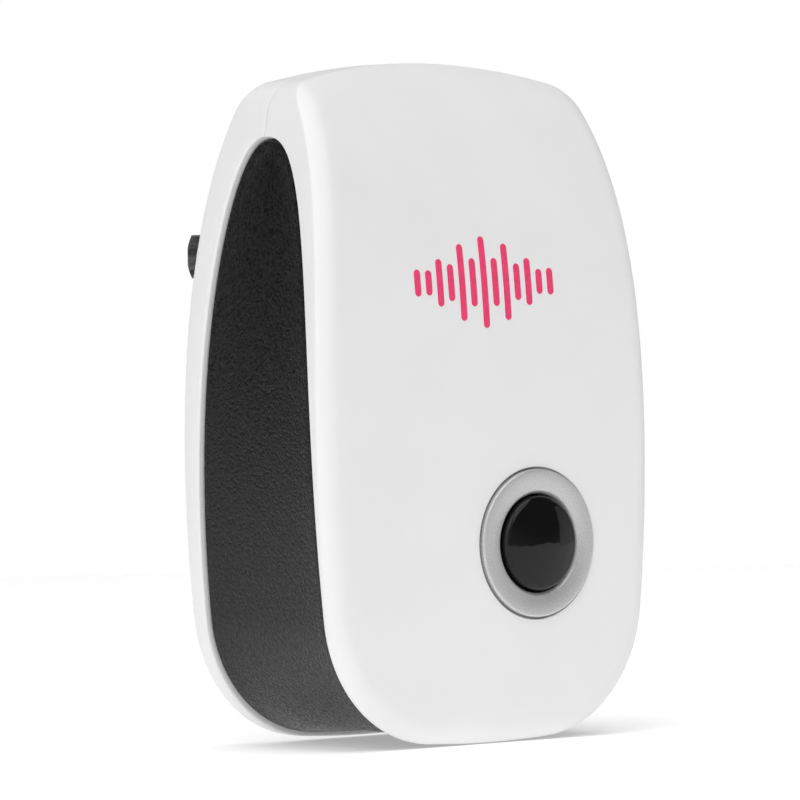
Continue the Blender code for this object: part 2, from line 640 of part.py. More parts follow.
def push_switch():
    """Depths are counted from the front face, inwards."""
    middle = (SWITCH_FRONT + SWITCH_BACK) / 2
    housing = place("switch_housing", box_mesh(SWITCH_WIDTH, SWITCH_DEPTH, SWITCH_WIDTH), EPOXY,
                    (BUTTON_X, FACE_Y + middle, BUTTON_Z))
    room = box_mesh(SWITCH_WIDTH - 2 * SWITCH_WALL, SWITCH_DEPTH - 2 * SWITCH_WALL,
                    SWITCH_WIDTH - 2 * SWITCH_WALL)
    cut(housing, cutter("switch_room", room, (BUTTON_X, FACE_Y + middle, BUTTON_Z)))
    mouth = rod_mesh(PLUNGER_RADIUS + GAP, 3 * MM)
    mouth_at = (BUTTON_X, FACE_Y + SWITCH_FRONT + 1.5 * MM, BUTTON_Z)
    cut(housing, cutter("switch_mouth", mouth, mouth_at, TO_FRONT))
    flange_front = SWITCH_FRONT + SWITCH_WALL + GAP
    flange_back = flange_front + PLUNGER_FLANGE_THICKNESS
    floor = SWITCH_BACK - SWITCH_WALL
    pin_end = floor - BUTTON_TRAVEL - TRAVEL_GAP
    turned("switch_plunger", [
        (0, -PLUNGER_TIP), (PLUNGER_RADIUS, -PLUNGER_TIP), (PLUNGER_RADIUS, -flange_front),
        (PLUNGER_FLANGE_RADIUS, -flange_front), (PLUNGER_FLANGE_RADIUS, -flange_back),
        (PLUNGER_PIN_RADIUS, -flange_back), (PLUNGER_PIN_RADIUS, -pin_end), (0, -pin_end)],
        RED_PVC, (BUTTON_X, FACE_Y, BUTTON_Z), TO_FRONT, steps=16)
    start = flange_back + GAP + SPRING_WIRE_RADIUS
    end = floor - GAP - SPRING_WIRE_RADIUS
    per_turn = 10
    coil = []
    for step in range(SPRING_TURNS * per_turn + 1):
        angle = 2 * pi * step / per_turn
        depth = start + (end - start) * step / (SPRING_TURNS * per_turn)
        coil.append((SPRING_RADIUS * cos(angle), SPRING_RADIUS * sin(angle), -depth))
    place("switch_spring", wire_mesh(coil, SPRING_WIRE_RADIUS, 0), STEEL,
          (BUTTON_X, FACE_Y, BUTTON_Z), TO_FRONT)


# ---------------------------------------------------------------- board and components

def main_board():
    height = BOARD_TOP_Z - BOARD_BOTTOM_Z
    board = place("main_board", plate_mesh(rounded_rectangle(BOARD_WIDTH, height, 2 * MM, 2),
                                           BOARD_THICKNESS), LAMINATE,
                  (0, (BOARD_FRONT_Y + BOARD_BACK_Y) / 2, (BOARD_TOP_Z + BOARD_BOTTOM_Z) / 2),
                  FACING_FRONT)
    for index, (x, z) in enumerate(board_screw_places()):
        hole = rod_mesh(SMALL_SHANK_RADIUS + GAP, 4 * BOARD_THICKNESS, 12)
        start_y = BOARD_BACK_Y + BOARD_THICKNESS
        cut(board, cutter(f"board_hole_{index}", hole, (x, start_y, z), TO_FRONT))
        screw(f"board_screw_{index + 1}", SMALL_SHANK_RADIUS, SMALL_HEAD_RADIUS, SMALL_HEAD_HEIGHT,
              BOARD_THICKNESS + 2 * GAP + 4 * MM, (x, PART_Y, z), TO_BACK)


def axial_part(name, body_radius, body_length, lead_radius, lead_length, material, x, z):
    """A component that lies along X on the board with a lead at each end."""
    half = body_length / 2
    ends = half + lead_length
    turned(name, [(0, ends), (lead_radius, ends), (lead_radius, half), (body_radius * 0.8, half),
                  (body_radius, half - body_radius * 0.3), (body_radius, -half + body_radius * 0.3),
                  (body_radius * 0.8, -half), (lead_radius, -half), (lead_radius, -ends), (0, -ends)],
           material, (x, PART_Y + body_radius, z), TO_RIGHT, steps=14)


def components():
    """Places are counted from the board's lower and upper edges."""
    low, high = BOARD_BOTTOM_Z, BOARD_TOP_Z
    film = place("film_capacitor", box_mesh(17.5 * MM, 9.5 * MM, 7.5 * MM), YELLOW,
                 (-6.0 * MM, PART_Y + 4.75 * MM, high - 11.2 * MM))
    soften = film.modifiers.new("edges", "BEVEL")
    soften.width = 0.6 * MM
    soften.segments = 2
    radius, length, groove = 4.0 * MM, 11.5 * MM, 0.4 * MM
    turned("filter_capacitor", [
        (0, length), (radius - 0.5 * MM, length), (radius, length - 0.5 * MM), (radius, 2.2 * MM),
        (radius - groove, 1.8 * MM), (radius, 1.4 * MM), (radius, 0), (0, 0)], SLEEVE,
        (-16.0 * MM, PART_Y + radius, low + 18.2 * MM), TO_RIGHT, steps=20)
    axial_part("fuse_resistor", 1.7 * MM, 8.0 * MM, 0.35 * MM, 3.0 * MM, RESISTOR,
               10.5 * MM, high - 7 * MM)
    for index in range(4):
        axial_part(f"bridge_diode_{index + 1}", 1.35 * MM, 5.0 * MM, 0.4 * MM, 1.5 * MM, EPOXY,
                   12.0 * MM, low + (16.5 + 3.4 * index) * MM)
    driver_chip(-9.5 * MM, low + 8.8 * MM)
    spool, waist, flange = 4.5 * MM, 3.6 * MM, 1.2 * MM
    turned("boost_coil", [
        (0, 9 * MM), (spool, 9 * MM), (spool, 9 * MM - flange), (waist, 8.6 * MM - flange),
        (waist, flange + 0.4 * MM), (spool, flange), (spool, 0), (0, 0)], FERRITE,
        (4.5 * MM, PART_Y, low + 9 * MM), TO_BACK, steps=20)
    lens_radius, lens_height = 1.5 * MM, 4.0 * MM
    dome = [(lens_radius * sin(pi / 2 * step / 4), lens_height + lens_radius * cos(pi / 2 * step / 4))
            for step in range(5)]
    led_x = BUTTON_X - SWITCH_WIDTH / 2 - 4 * MM
    turned("status_led", dome + [(lens_radius, 0.8 * MM), (1.9 * MM, 0.8 * MM), (1.9 * MM, 0), (0, 0)],
           LENS, (led_x, BOARD_FRONT_Y - GAP, BUTTON_Z), TO_FRONT, steps=14)


def driver_chip(x, z):
    """An eight-lead chip, its leads one piece with its body."""
    chip = place("driver_chip", box_mesh(9.6 * MM, 3.3 * MM, 6.4 * MM), EPOXY,
                 (x, PART_Y + 2.35 * MM, z))
    for index in range(4):
        lead_x = x + (index - 1.5) * 2.54 * MM
        lead = box_mesh(1.0 * MM, 2.2 * MM, 7.6 * MM)
        join(chip, cutter(f"chip_lead_{index}", lead, (lead_x, PART_Y + 1.1 * MM, z)))


# ---------------------------------------------------------------- sounder

def speaker_y():
    return SEAM_Y + (BAND_REAR - BAND_FRONT) / 2


def speaker_z():
    """The sounder's lower rim, clear of the band's curved inside."""
    inside = outline(WALL + GAP + BAND_THICKNESS)
    under = [z for x, z in inside if abs(x) > SPEAKER_RADIUS and z < WIDEST_Z]
    nearest = min(under)
    return nearest + GAP


def sounder():
    at = (0, speaker_y(), speaker_z())
    bore = SPEAKER_RADIUS - SPEAKER_WALL
    top = SPEAKER_HEIGHT
    ledge = SPEAKER_LEDGE_HEIGHT
    turned("speaker_frame", [
        (SPEAKER_PORT, top), (SPEAKER_RADIUS, top), (SPEAKER_RADIUS, 0), (bore, 0), (bore, ledge - 1 * MM),
        (bore - SPEAKER_LEDGE, ledge - 1 * MM), (bore - SPEAKER_LEDGE, ledge), (bore, ledge),
        (bore, top - SPEAKER_WALL), (SPEAKER_PORT, top - SPEAKER_WALL)], EPOXY, at, UPRIGHT,
        closed=True, steps=24)
    disc_base = ledge + GAP
    disc_top = disc_base + DISC_THICKNESS
    disc_radius = bore - GAP
    turned("piezo_disc", [(0, disc_top), (disc_radius, disc_top), (disc_radius, disc_base), (0, disc_base)],
           BRASS, at, UPRIGHT)
    base = disc_top + GAP
    turned("piezo_ceramic", [(0, base + DISC_THICKNESS), (CERAMIC_RADIUS, base + DISC_THICKNESS),
                             (CERAMIC_RADIUS, base), (0, base)], CERAMIC, at, UPRIGHT, steps=24)


# ---------------------------------------------------------------- plug

def blades():
    shoulder_start = -BOSS_END_WALL - GAP
    shoulder_end = shoulder_start - SHOULDER_DEPTH
    tab_end = shoulder_end - GAP - HOLDER_THICKNESS - TAB_LENGTH
    half, tab = BLADE_WIDTH / 2, TAB_WIDTH / 2
    first, last = asin(BLADE_TIP_FLAT / 2 / BLADE_TIP_RADIUS), asin(half / BLADE_TIP_RADIUS)
    turns = [first + (last - first) * step / 5 for step in range(6)]
    tip = [(BLADE_LENGTH + BLADE_TIP_RADIUS * (cos(turn) - cos(first)), BLADE_TIP_RADIUS * sin(turn))
           for turn in turns]
    upper = tip + [(shoulder_start, half), (shoulder_start, SHOULDER_HEIGHT / 2),
                   (shoulder_end, SHOULDER_HEIGHT / 2), (shoulder_end, tab), (tab_end, tab)]
    profile = upper + [(y, -z) for y, z in reversed(upper)]
    for name, side in (("blade_left", -1), ("blade_right", 1)):
        x = side * BLADE_PITCH / 2
        blade = place(name, plate_mesh(profile, BLADE_THICKNESS), NICKEL, (x, 0, 0), FACING_SIDE)
        hole = rod_mesh(BLADE_HOLE_RADIUS, 4 * BLADE_THICKNESS)
        hole_at = (x - 2 * BLADE_THICKNESS, BLADE_HOLE_DISTANCE, 0)
        cut(blade, cutter(name + "_hole", hole, hole_at, TO_RIGHT))


def blade_holder():
    front = -BOSS_END_WALL - GAP - SHOULDER_DEPTH - GAP
    width = BOSS_WIDTH - 2 * BOSS_WALL - 2 * GAP
    height = BOSS_HEIGHT - 2 * BOSS_WALL - 2 * GAP
    corner = BOSS_CORNER - BOSS_WALL - GAP
    holder = place("blade_holder", plate_mesh(rounded_rectangle(width, height, corner, 3),
                                              HOLDER_THICKNESS), WHITE,
                   (0, front - HOLDER_THICKNESS / 2, 0), FACING_FRONT)
    for index, side in enumerate((-1, 1)):
        slot = box_mesh(BLADE_THICKNESS + 2 * GAP, 8 * MM, TAB_WIDTH + 2 * GAP)
        cut(holder, cutter(f"tab_slot_{index}", slot, (side * BLADE_PITCH / 2, front, 0)))
        hole = rod_mesh(SMALL_SHANK_RADIUS + GAP, 8 * MM, 12)
        cut(holder, cutter(f"holder_hole_{index}", hole, (0, front + 2 * MM, side * HOLDER_SCREW_Z),
                           TO_FRONT))
        seat = front - HOLDER_THICKNESS - GAP
        length = -BOSS_END_WALL / 2 - GAP - seat
        screw(f"holder_screw_{index + 1}", SMALL_SHANK_RADIUS, SMALL_HEAD_RADIUS, SMALL_HEAD_HEIGHT,
              length, (0, seat, side * HOLDER_SCREW_Z), TO_FRONT)


# ---------------------------------------------------------------- fasteners and wires

def case_screws():
    for index, (x, z) in enumerate(case_screw_places()):
        seat_y = SEAM_Y + CASE_SEAT + GAP
        screw(f"case_screw_{index + 1}", CASE_SHANK_RADIUS, CASE_HEAD_RADIUS, CASE_HEAD_HEIGHT,
              CASE_SEAT + GAP + CASE_ENGAGEMENT, (x, seat_y, z), TO_BACK)


def smooth_route(points, per_span=5):
    """Points along a Catmull-Rom curve through the route."""
    route = [points[0]] + points + [points[-1]]
    smooth = []
    for a, b, c, d in zip(route, route[1:], route[2:], route[3:]):
        for step in range(per_span):
            t = step / per_span
            smooth.append(tuple(
                0.5 * (2 * b[k] + (c[k] - a[k]) * t + (2 * a[k] - 5 * b[k] + 4 * c[k] - d[k]) * t ** 2
                       + (3 * b[k] - a[k] - 3 * c[k] + d[k]) * t ** 3) for k in range(3)))
    return smooth + [points[-1]]


def wires():
    tab_y = -(BOSS_END_WALL + 3 * GAP + SHOULDER_DEPTH + HOLDER_THICKNESS + TAB_LENGTH)
    board_y = PART_Y + WIRE_RADIUS
    land_z = BOARD_TOP_Z - 3 * MM
    for name, side, material in (("line_wire", -1, RED_PVC), ("neutral_wire", 1, BLACK_PVC)):
        x = side * BLADE_PITCH / 2
        start_y = tab_y - WIRE_RADIUS - GAP
        route = [(x, start_y, 0), (x, start_y - 2 * MM, -0.3 * MM),
                 (x + side * 2 * MM, (start_y + board_y) / 2, land_z / 3),
                 (x + side * 3 * MM, board_y + 2.5 * MM, land_z), (x + side * 3 * MM, board_y, land_z)]
        place(name, wire_mesh(smooth_route(route), WIRE_RADIUS), material)
    top = speaker_z() + SPEAKER_HEIGHT
    y = speaker_y()
    inside = speaker_z() + SPEAKER_LEDGE_HEIGHT + 4 * GAP + 2 * DISC_THICKNESS + 1 * MM
    for name, side, material in (("speaker_wire_1", -1, RED_PVC), ("speaker_wire_2", 1, BLACK_PVC)):
        x = side * 1.2 * MM
        land_z = BOARD_BOTTOM_Z + 2.5 * MM
        route = [(x, y, inside), (x, y, top + 1 * MM), (x * 1.5, y + 2 * MM, top + 3 * MM),
                 (x * 2.5, board_y + 3 * MM, land_z), (x * 2.5, board_y, land_z)]
        place(name, wire_mesh(smooth_route(route), WIRE_RADIUS * 0.7), material)


def smooth_round_pieces():
    for item in PARTS.objects:
        item.data.shade_smooth()
        item.data.set_sharp_from_angle(angle=radians(35))


front_cover()
rear_cover()
side_band()
button()
push_switch()
main_board()
components()
sounder()
blades()
blade_holder()
case_screws()
wires()
rating_label()
smooth_round_pieces()
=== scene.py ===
"""The looks of a plug-in ultrasonic pest repeller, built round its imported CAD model.

Metres, +Z up. The front looks along -Y and the wall is on the +Y side. The visible covers, band,
ring, button, blades, screws and label are built here as finer closed meshes in the CAD nodes' places.
The inner pieces stay CAD nodes with better materials.
"""

from math import asin, atan2, ceil, cos, exp, hypot, pi, radians, sin, sqrt

import bmesh
import bpy
import numpy as np
from mathutils import Matrix, Vector
from mathutils.geometry import delaunay_2d_cdt


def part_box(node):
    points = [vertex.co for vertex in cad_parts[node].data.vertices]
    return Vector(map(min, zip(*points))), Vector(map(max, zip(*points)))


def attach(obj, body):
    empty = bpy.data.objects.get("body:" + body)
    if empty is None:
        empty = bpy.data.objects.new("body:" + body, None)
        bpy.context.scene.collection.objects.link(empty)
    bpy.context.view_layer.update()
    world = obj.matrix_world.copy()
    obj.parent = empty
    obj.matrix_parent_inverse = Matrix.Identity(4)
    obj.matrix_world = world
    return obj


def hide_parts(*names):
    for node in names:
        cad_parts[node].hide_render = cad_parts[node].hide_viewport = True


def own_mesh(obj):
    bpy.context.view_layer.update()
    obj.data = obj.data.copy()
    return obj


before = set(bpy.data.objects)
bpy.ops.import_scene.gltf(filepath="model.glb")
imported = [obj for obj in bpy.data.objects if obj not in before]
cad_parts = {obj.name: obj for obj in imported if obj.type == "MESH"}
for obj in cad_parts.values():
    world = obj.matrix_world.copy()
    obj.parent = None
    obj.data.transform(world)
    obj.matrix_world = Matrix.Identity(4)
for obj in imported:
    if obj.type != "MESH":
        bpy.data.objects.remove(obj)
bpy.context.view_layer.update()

MM = 0.001
QUARTER = pi / 2

# ---------------------------------------------------------------- sizes read from the frame

front_low, front_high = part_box("front_cover")
rear_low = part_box("rear_cover")[0]
ring_low, ring_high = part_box("button_bezel")
cap_low, cap_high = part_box("button_cap")
label_low, label_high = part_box("rating_label")

TOP_Z = front_high.z
BOTTOM_Z = front_low.z
BODY_WIDTH = front_high.x - front_low.x
FACE_Y = front_low.y
SEAM_Y = (front_high.y + rear_low.y) / 2
BUTTON_X = (ring_low.x + ring_high.x) / 2
BUTTON_Z = (ring_low.z + ring_high.z) / 2
RING_RADIUS = (ring_high.x - ring_low.x) / 2
RING_FRONT = FACE_Y - ring_low.y
CAP_FRONT = FACE_Y - cap_low.y

# ---------------------------------------------------------------- sizes shared with the CAD model

GAP = 0.3 * MM
WIDEST_Z = TOP_Z - 51.9 * MM
TOP_ARC_RADIUS = 96.3 * MM
SIDE_ARC_RADIUS = 241.0 * MM
BOTTOM_ARC_RADIUS = 180.0 * MM
TOP_CORNER_RADIUS = 5.0 * MM
BOTTOM_CORNER_RADIUS = 19.5 * MM
FRONT, REAR = -1, 1
DEPTH = {FRONT: SEAM_Y - FACE_Y, REAR: 15.7 * MM}
SHAPE = {FRONT: (6.2, 1.34), REAR: (4.7, 1.81)}
ARCH_TOP_Z = TOP_Z + 1.0 * MM
WALL = 2.0 * MM
OUTER_EDGE = (4.1 * MM, radians(40.5))    # an edge's arc: its radius, and the part left out at the side
INNER_EDGE = (1.0 * MM, 0.0)
BAND_TOP_Z = TOP_Z - 10.4 * MM
BAND_SHAPE = {FRONT: (3.13, 2.43), REAR: (2.75, 2.3)}
BAND_DEPTH = {FRONT: DEPTH[FRONT] - 2.25 * MM, REAR: DEPTH[REAR] - 3.9 * MM}
BAND_INSET = 0.6 * MM
BAND_THICKNESS = 1.0 * MM
BAND_LIP = 1.2 * MM
RING_SEAT = 0.8 * MM
RING_BORE = 7.0 * MM
COLLAR_RADIUS = 8.0 * MM
COLLAR_LENGTH = 3.1 * MM
CAP_RADIUS = RING_BORE - GAP
CASE_SEAT = 6.0 * MM
CASE_TUBE_RADIUS = 3.9 * MM
CASE_POST_RADIUS = 3.0 * MM
CASE_SHANK_RADIUS = 1.2 * MM
BOSS_WALL = 2.0 * MM
BOSS_END_WALL = 2.5 * MM
BOSS_WIDTH, BOSS_HEIGHT, BOSS_CORNER = 26.0 * MM, 20.0 * MM, 4.0 * MM
LABEL_CORNER = 2.0 * MM
LABEL_RECESS = 0.45 * MM
SLOT_COUNT, SLOT_WIDTH, SLOT_LENGTH, SLOT_PITCH = 7, 1.6 * MM, 14.0 * MM, 3.0 * MM
BLADE_LENGTH, BLADE_HEIGHT = 15.9 * MM, 6.35 * MM
CASE_WELL_RADIUS = 2.8 * MM

# ---------------------------------------------------------------- fine detail, in the looks only

SEAM_LINE = 0.035 * MM       # half the open line between the covers
SEAM_FILLET = 0.08 * MM
WINDOW_FILLET = 0.35 * MM
RIDGE_FILLET = 0.22 * MM
BAND_FILLET = 0.3 * MM
BAND_DISH = 0.8 * MM         # how far the band's surface is hollowed between its edges
ROOT_FILLET = 0.8 * MM
HOLE_FILLET = 0.2 * MM
FINE = 0.8 * MM
FACE_GRID = 1.3 * MM
INNER_GRID = 4.0 * MM
INK_HEIGHT = 0.04 * MM
BOSS_ROUND_OFF = 0.6 * MM
TONGUE_REACH = 1.6 * MM      # on each side of the seam
TONGUE_THICKNESS = 0.8 * MM
TONGUE_CLEARANCE = 0.02 * MM
TONGUE_END = 1.5 * MM        # how far above the band the tongue stops
FLOOR_RADIUS, FLOOR_DROP, FLOOR_GLOW = 0.55, 0.2 * MM, 0.36
LIGHT_DISTANCE = 1.3
STUDIO_LIGHT = 0.42          # strength of the surroundings


# ---------------------------------------------------------------- outline of the housing

def corner_centre(arc_1, radius_1, arc_2, radius_2, corner):
    """Centre, on the right, of the corner arc that touches both arcs from inside."""
    reach_1, reach_2 = radius_1 - corner, radius_2 - corner
    run_x, run_z = arc_2[0] - arc_1[0], arc_2[1] - arc_1[1]
    span = hypot(run_x, run_z)
    along = (reach_1 ** 2 - reach_2 ** 2 + span ** 2) / (2 * span)
    across = sqrt(reach_1 ** 2 - along ** 2)
    foot_x, foot_z = arc_1[0] + along * run_x / span, arc_1[1] + along * run_z / span
    return max((foot_x + side * across * run_z / span, foot_z - side * across * run_x / span)
               for side in (1, -1))


def outline_arcs():
    """The right half from top to bottom: start distance, end distance, centre, radius, angles."""
    top = (0.0, TOP_Z - TOP_ARC_RADIUS)
    side = (BODY_WIDTH / 2 - SIDE_ARC_RADIUS, WIDEST_Z)
    bottom = (0.0, BOTTOM_Z + BOTTOM_ARC_RADIUS)
    upper = corner_centre(side, SIDE_ARC_RADIUS, top, TOP_ARC_RADIUS, TOP_CORNER_RADIUS)
    lower = corner_centre(side, SIDE_ARC_RADIUS, bottom, BOTTOM_ARC_RADIUS, BOTTOM_CORNER_RADIUS)
    turn_1 = atan2(upper[1] - top[1], upper[0] - top[0])
    turn_2 = atan2(upper[1] - side[1], upper[0] - side[0])
    turn_3 = atan2(lower[1] - side[1], lower[0] - side[0])
    turn_4 = atan2(lower[1] - bottom[1], lower[0] - bottom[0])
    arcs = []
    walked = 0.0
    for centre, radius, start, end in (
            (top, TOP_ARC_RADIUS, QUARTER, turn_1), (upper, TOP_CORNER_RADIUS, turn_1, turn_2),
            (side, SIDE_ARC_RADIUS, turn_2, turn_3), (lower, BOTTOM_CORNER_RADIUS, turn_3, turn_4),
            (bottom, BOTTOM_ARC_RADIUS, turn_4, -QUARTER)):
        length = radius * (start - end)
        arcs.append((walked, walked + length, centre, radius, start, end))
        walked += length
    return arcs


ARCS = outline_arcs()
HALF = ARCS[-1][1]           # distance walked from the top centre to the bottom centre


def rim(walked, inset):
    """(x, z) of the outline at a walked distance, moved in by inset. Past HALF it is the left side."""
    left = walked > HALF
    if left:
        walked = 2 * HALF - walked
    for begin, finish, centre, radius, start, _end in ARCS:
        if walked <= finish or finish == HALF:
            break
    angle = start - (walked - begin) / radius
    x = centre[0] + (radius - inset) * cos(angle)
    return -x if left else x, centre[1] + (radius - inset) * sin(angle)


def side_walked(z):
    """Walked distance of a height on the right side arc."""
    begin, _finish, centre, radius, start, _end = ARCS[2]
    return begin + radius * (start - asin((z - centre[1]) / radius))


def stations(spacing):
    """Walked distances over the right half, closer together in the corners."""
    walked = [0.0]
    for begin, finish, _centre, radius, start, end in ARCS:
        steps = max(ceil((finish - begin) / spacing), ceil((start - end) / radians(5)))
        walked += [begin + (finish - begin) * (step + 1) / steps for step in range(steps)]
    return walked


def arch(z, depth, top_z, shape):
    """Distance of an arch's curve from the seam at a height: all of depth at the underside."""
    power, root = shape
    rise = min(max((z - BOTTOM_Z) / (top_z - BOTTOM_Z), 0.0), 1.0)
    return depth * (1 - rise ** power) ** (1 / root)


def face_depth(side, z):
    return arch(z, DEPTH[side], ARCH_TOP_Z, SHAPE[side])


def face_y(side, z):
    return SEAM_Y + side * face_depth(side, z)


def edge_point(side, walked, turn, inset, edge):
    """Point on a cover's rounded edge: turn 0 at the side wall, 1 on the face."""
    radius, start = edge
    angle = start + (QUARTER - start) * turn
    x, z = rim(walked, inset + radius * (cos(start) - cos(angle)))
    depth = face_depth(side, z) - inset
    radius = min(radius, 0.8 * depth)
    return Vector((x, SEAM_Y + side * (depth - radius * (1 - sin(angle))), z))


def wall_point(side, walked, reach, inset):
    """Point on a cover's flat side wall at a distance from the seam."""
    x, z = rim(walked, inset)
    return Vector((x, SEAM_Y + side * reach, z))


# ---------------------------------------------------------------- flat curves

def resample(points, spacing):
    """The same curve with evenly spaced points, its ends kept."""
    lengths = [0.0]
    for start, end in zip(points, points[1:]):
        lengths.append(lengths[-1] + hypot(end[0] - start[0], end[1] - start[1]))
    count = max(2, round(lengths[-1] / spacing))
    even = []
    index = 0
    for step in range(count + 1):
        goal = lengths[-1] * step / count
        while index < len(points) - 2 and lengths[index + 1] < goal:
            index += 1
        share = (goal - lengths[index]) / max(lengths[index + 1] - lengths[index], 1e-12)
        start, end = points[index], points[index + 1]
        even.append((start[0] + (end[0] - start[0]) * share, start[1] + (end[1] - start[1]) * share))
    even[0], even[-1] = points[0], points[-1]
    return even


def offset(points, distances, closed=True):
    """The curve moved to the left of its direction, with mitred corners."""
    if not hasattr(distances, "__len__"):
        distances = [distances] * len(points)
    moved = []
    last = len(points) - 1
    for index, point in enumerate(points):
        before = points[index - 1] if closed or index > 0 else point
        after = points[(index + 1) % len(points)] if closed or index < last else point
        normals = []
        for start, end in ((before, point), (point, after)):
            run = hypot(end[0] - start[0], end[1] - start[1])
            if run > 1e-12:
                normals.append(((start[1] - end[1]) / run, (end[0] - start[0]) / run))
        normal_x = sum(normal[0] for normal in normals) / len(normals)
        normal_y = sum(normal[1] for normal in normals) / len(normals)
        scale = distances[index] / max(normal_x ** 2 + normal_y ** 2, 0.4)
        moved.append((point[0] + normal_x * scale, point[1] + normal_y * scale))
    return moved


def between(start, end, share):
    return (start[0] + (end[0] - start[0]) * share, start[1] + (end[1] - start[1]) * share)


def circle(centre_x, centre_y, radius, steps):
    return [(centre_x + radius * cos(2 * pi * step / steps),
             centre_y + radius * sin(2 * pi * step / steps)) for step in range(steps)]


def rounded_rectangle(centre_x, centre_y, width, height, corner, steps=8):
    points = []
    for quarter in range(4):
        side_x = 1 if quarter in (0, 3) else -1
        side_y = 1 if quarter in (0, 1) else -1
        for step in range(steps + 1):
            angle = QUARTER * (quarter + step / steps)
            points.append((centre_x + side_x * (width / 2 - corner) + corner * cos(angle),
                           centre_y + side_y * (height / 2 - corner) + corner * sin(angle)))
    return points


def subdivided(points, spacing):
    """A closed curve with extra points along its long straights."""
    fine = []
    for index, start in enumerate(points):
        end = points[(index + 1) % len(points)]
        steps = max(1, ceil(hypot(end[0] - start[0], end[1] - start[1]) / spacing))
        fine += [between(start, end, step / steps) for step in range(steps)]
    return fine


# ---------------------------------------------------------------- closed skins made of patches

def inside_loops(points, loops):
    """True for each point that is inside the first loop and outside the others."""
    crossed = np.zeros(len(points), int)
    for loop in loops:
        start = np.array(loop)
        end = np.roll(start, -1, axis=0)
        x, y = points[:, :1], points[:, 1:]
        spans = (start[None, :, 1] > y) != (end[None, :, 1] > y)
        rise = np.where(end[:, 1] == start[:, 1], 1.0, end[:, 1] - start[:, 1])
        at_x = start[None, :, 0] + (y - start[None, :, 1]) * ((end[:, 0] - start[:, 0]) / rise)[None, :]
        crossed += (spans & (x < at_x)).sum(1)
    return crossed % 2 == 1


def triangles_in(loops, spacing):
    """Flat points and triangles inside the first loop and outside the others."""
    given = [point for loop in loops for point in loop]
    edges = []
    first = 0
    for loop in loops:
        edges += [(first + index, first + (index + 1) % len(loop)) for index in range(len(loop))]
        first += len(loop)
    border = np.array(given)
    low, high = border.min(0), border.max(0)
    extra = []
    row_height = spacing * sqrt(3) / 2
    for row in range(1, int((high[1] - low[1]) / row_height) + 1):
        shift = spacing / 2 if row % 2 else 0.0
        for column in range(int((high[0] - low[0]) / spacing) + 1):
            extra.append((low[0] + shift + column * spacing, low[1] + row * row_height))
    if extra:
        grid = np.array(extra)
        grid = grid[inside_loops(grid, loops)]
        clear = [np.hypot(*(border - point).T).min() > 0.6 * spacing for point in grid]
        given += [tuple(point) for point, is_clear in zip(grid, clear) if is_clear]
    flat = [Vector((point[0] / MM, point[1] / MM)) for point in given]
    coords, _edges, faces, origins, _e, _f = delaunay_2d_cdt(flat, edges, [], 0, 1e-5)
    points = [given[origin[0]] if origin else (co.x * MM, co.y * MM)
              for co, origin in zip(coords, origins)]
    centres = np.array([[sum(points[corner][axis] for corner in face) / 3 for axis in (0, 1)]
                        for face in faces])
    keep = inside_loops(centres, loops)
    return points, [face for face, kept in zip(faces, keep) if kept]


class Skin:
    """A closed surface gathered from patches, whose meeting points are welded at the end."""

    def __init__(self):
        self.mesh = bmesh.new()

    def fill(self, loops, spacing, lift):
        points, faces = triangles_in(loops, spacing)
        corners = [self.mesh.verts.new(lift(*point)) for point in points]
        for face in faces:
            self.mesh.faces.new([corners[index] for index in face])

    def strip(self, row_1, row_2, closed=True):
        """Quads between two rows with as many points."""
        verts_1 = [self.mesh.verts.new(point) for point in row_1]
        verts_2 = [self.mesh.verts.new(point) for point in row_2]
        for index in range(0 if closed else 1, len(row_1)):
            self.mesh.faces.new((verts_1[index - 1], verts_1[index], verts_2[index], verts_2[index - 1]))

    def strips(self, rows, closed=True):
        for row_1, row_2 in zip(rows, rows[1:]):
            self.strip(row_1, row_2, closed)

    def mirror(self):
        """Adds the same patches on the other side of x = 0."""
        everything = self.mesh.verts[:] + self.mesh.edges[:] + self.mesh.faces[:]
        for item in bmesh.ops.duplicate(self.mesh, geom=everything)["geom"]:
            if isinstance(item, bmesh.types.BMVert):
                item.co.x = -item.co.x

    def piece(self, name, material, sharp=35):
        bmesh.ops.remove_doubles(self.mesh, verts=self.mesh.verts, dist=0.002 * MM)
        bmesh.ops.dissolve_degenerate(self.mesh, edges=self.mesh.edges, dist=0.0005 * MM)
        bmesh.ops.recalc_face_normals(self.mesh, faces=self.mesh.faces)
        data = bpy.data.meshes.new(name)
        self.mesh.to_mesh(data)
        self.mesh.free()
        data.materials.append(material)
        data.shade_smooth()
        data.set_sharp_from_angle(angle=radians(sharp))
        item = bpy.data.objects.new(name, data)
        bpy.context.scene.collection.objects.link(item)
        return item


def settle(item, body, slot, *nodes):
    """Puts a finished piece on its body and hides the CAD nodes whose place it takes; the slot is not used.
    """
    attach(item, body)
    if nodes:
        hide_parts(*nodes)
    return item


def lathe(profile, matrix, segments=64, closed=False):
    """Rows of points round an axis for (radius, height) pairs; a row on the axis is one point."""
    rows = []
    for radius, height in profile:
        rows.append([matrix @ Vector((radius * cos(2 * pi * step / segments),
                                      radius * sin(2 * pi * step / segments), height))
                     for step in range(segments)])
    if closed:
        rows.append(rows[0])
    return rows


def arc_profile(centre, radius, start, end, steps):
    """(radius, height) pairs along an arc, angles in degrees from +radius towards +height."""
    return [(centre[0] + radius * cos(radians(start + (end - start) * step / steps)),
             centre[1] + radius * sin(radians(start + (end - start) * step / steps)))
            for step in range(steps + 1)]


def towards(direction, x, y, z):
    """Matrix that stands a turned profile at a point with its heights along a direction."""
    turn = Vector(direction).to_track_quat("Z", "X").to_matrix().to_4x4()
    return Matrix.Translation((x, y, z)) @ turn


# ---------------------------------------------------------------- the covers' shared walls

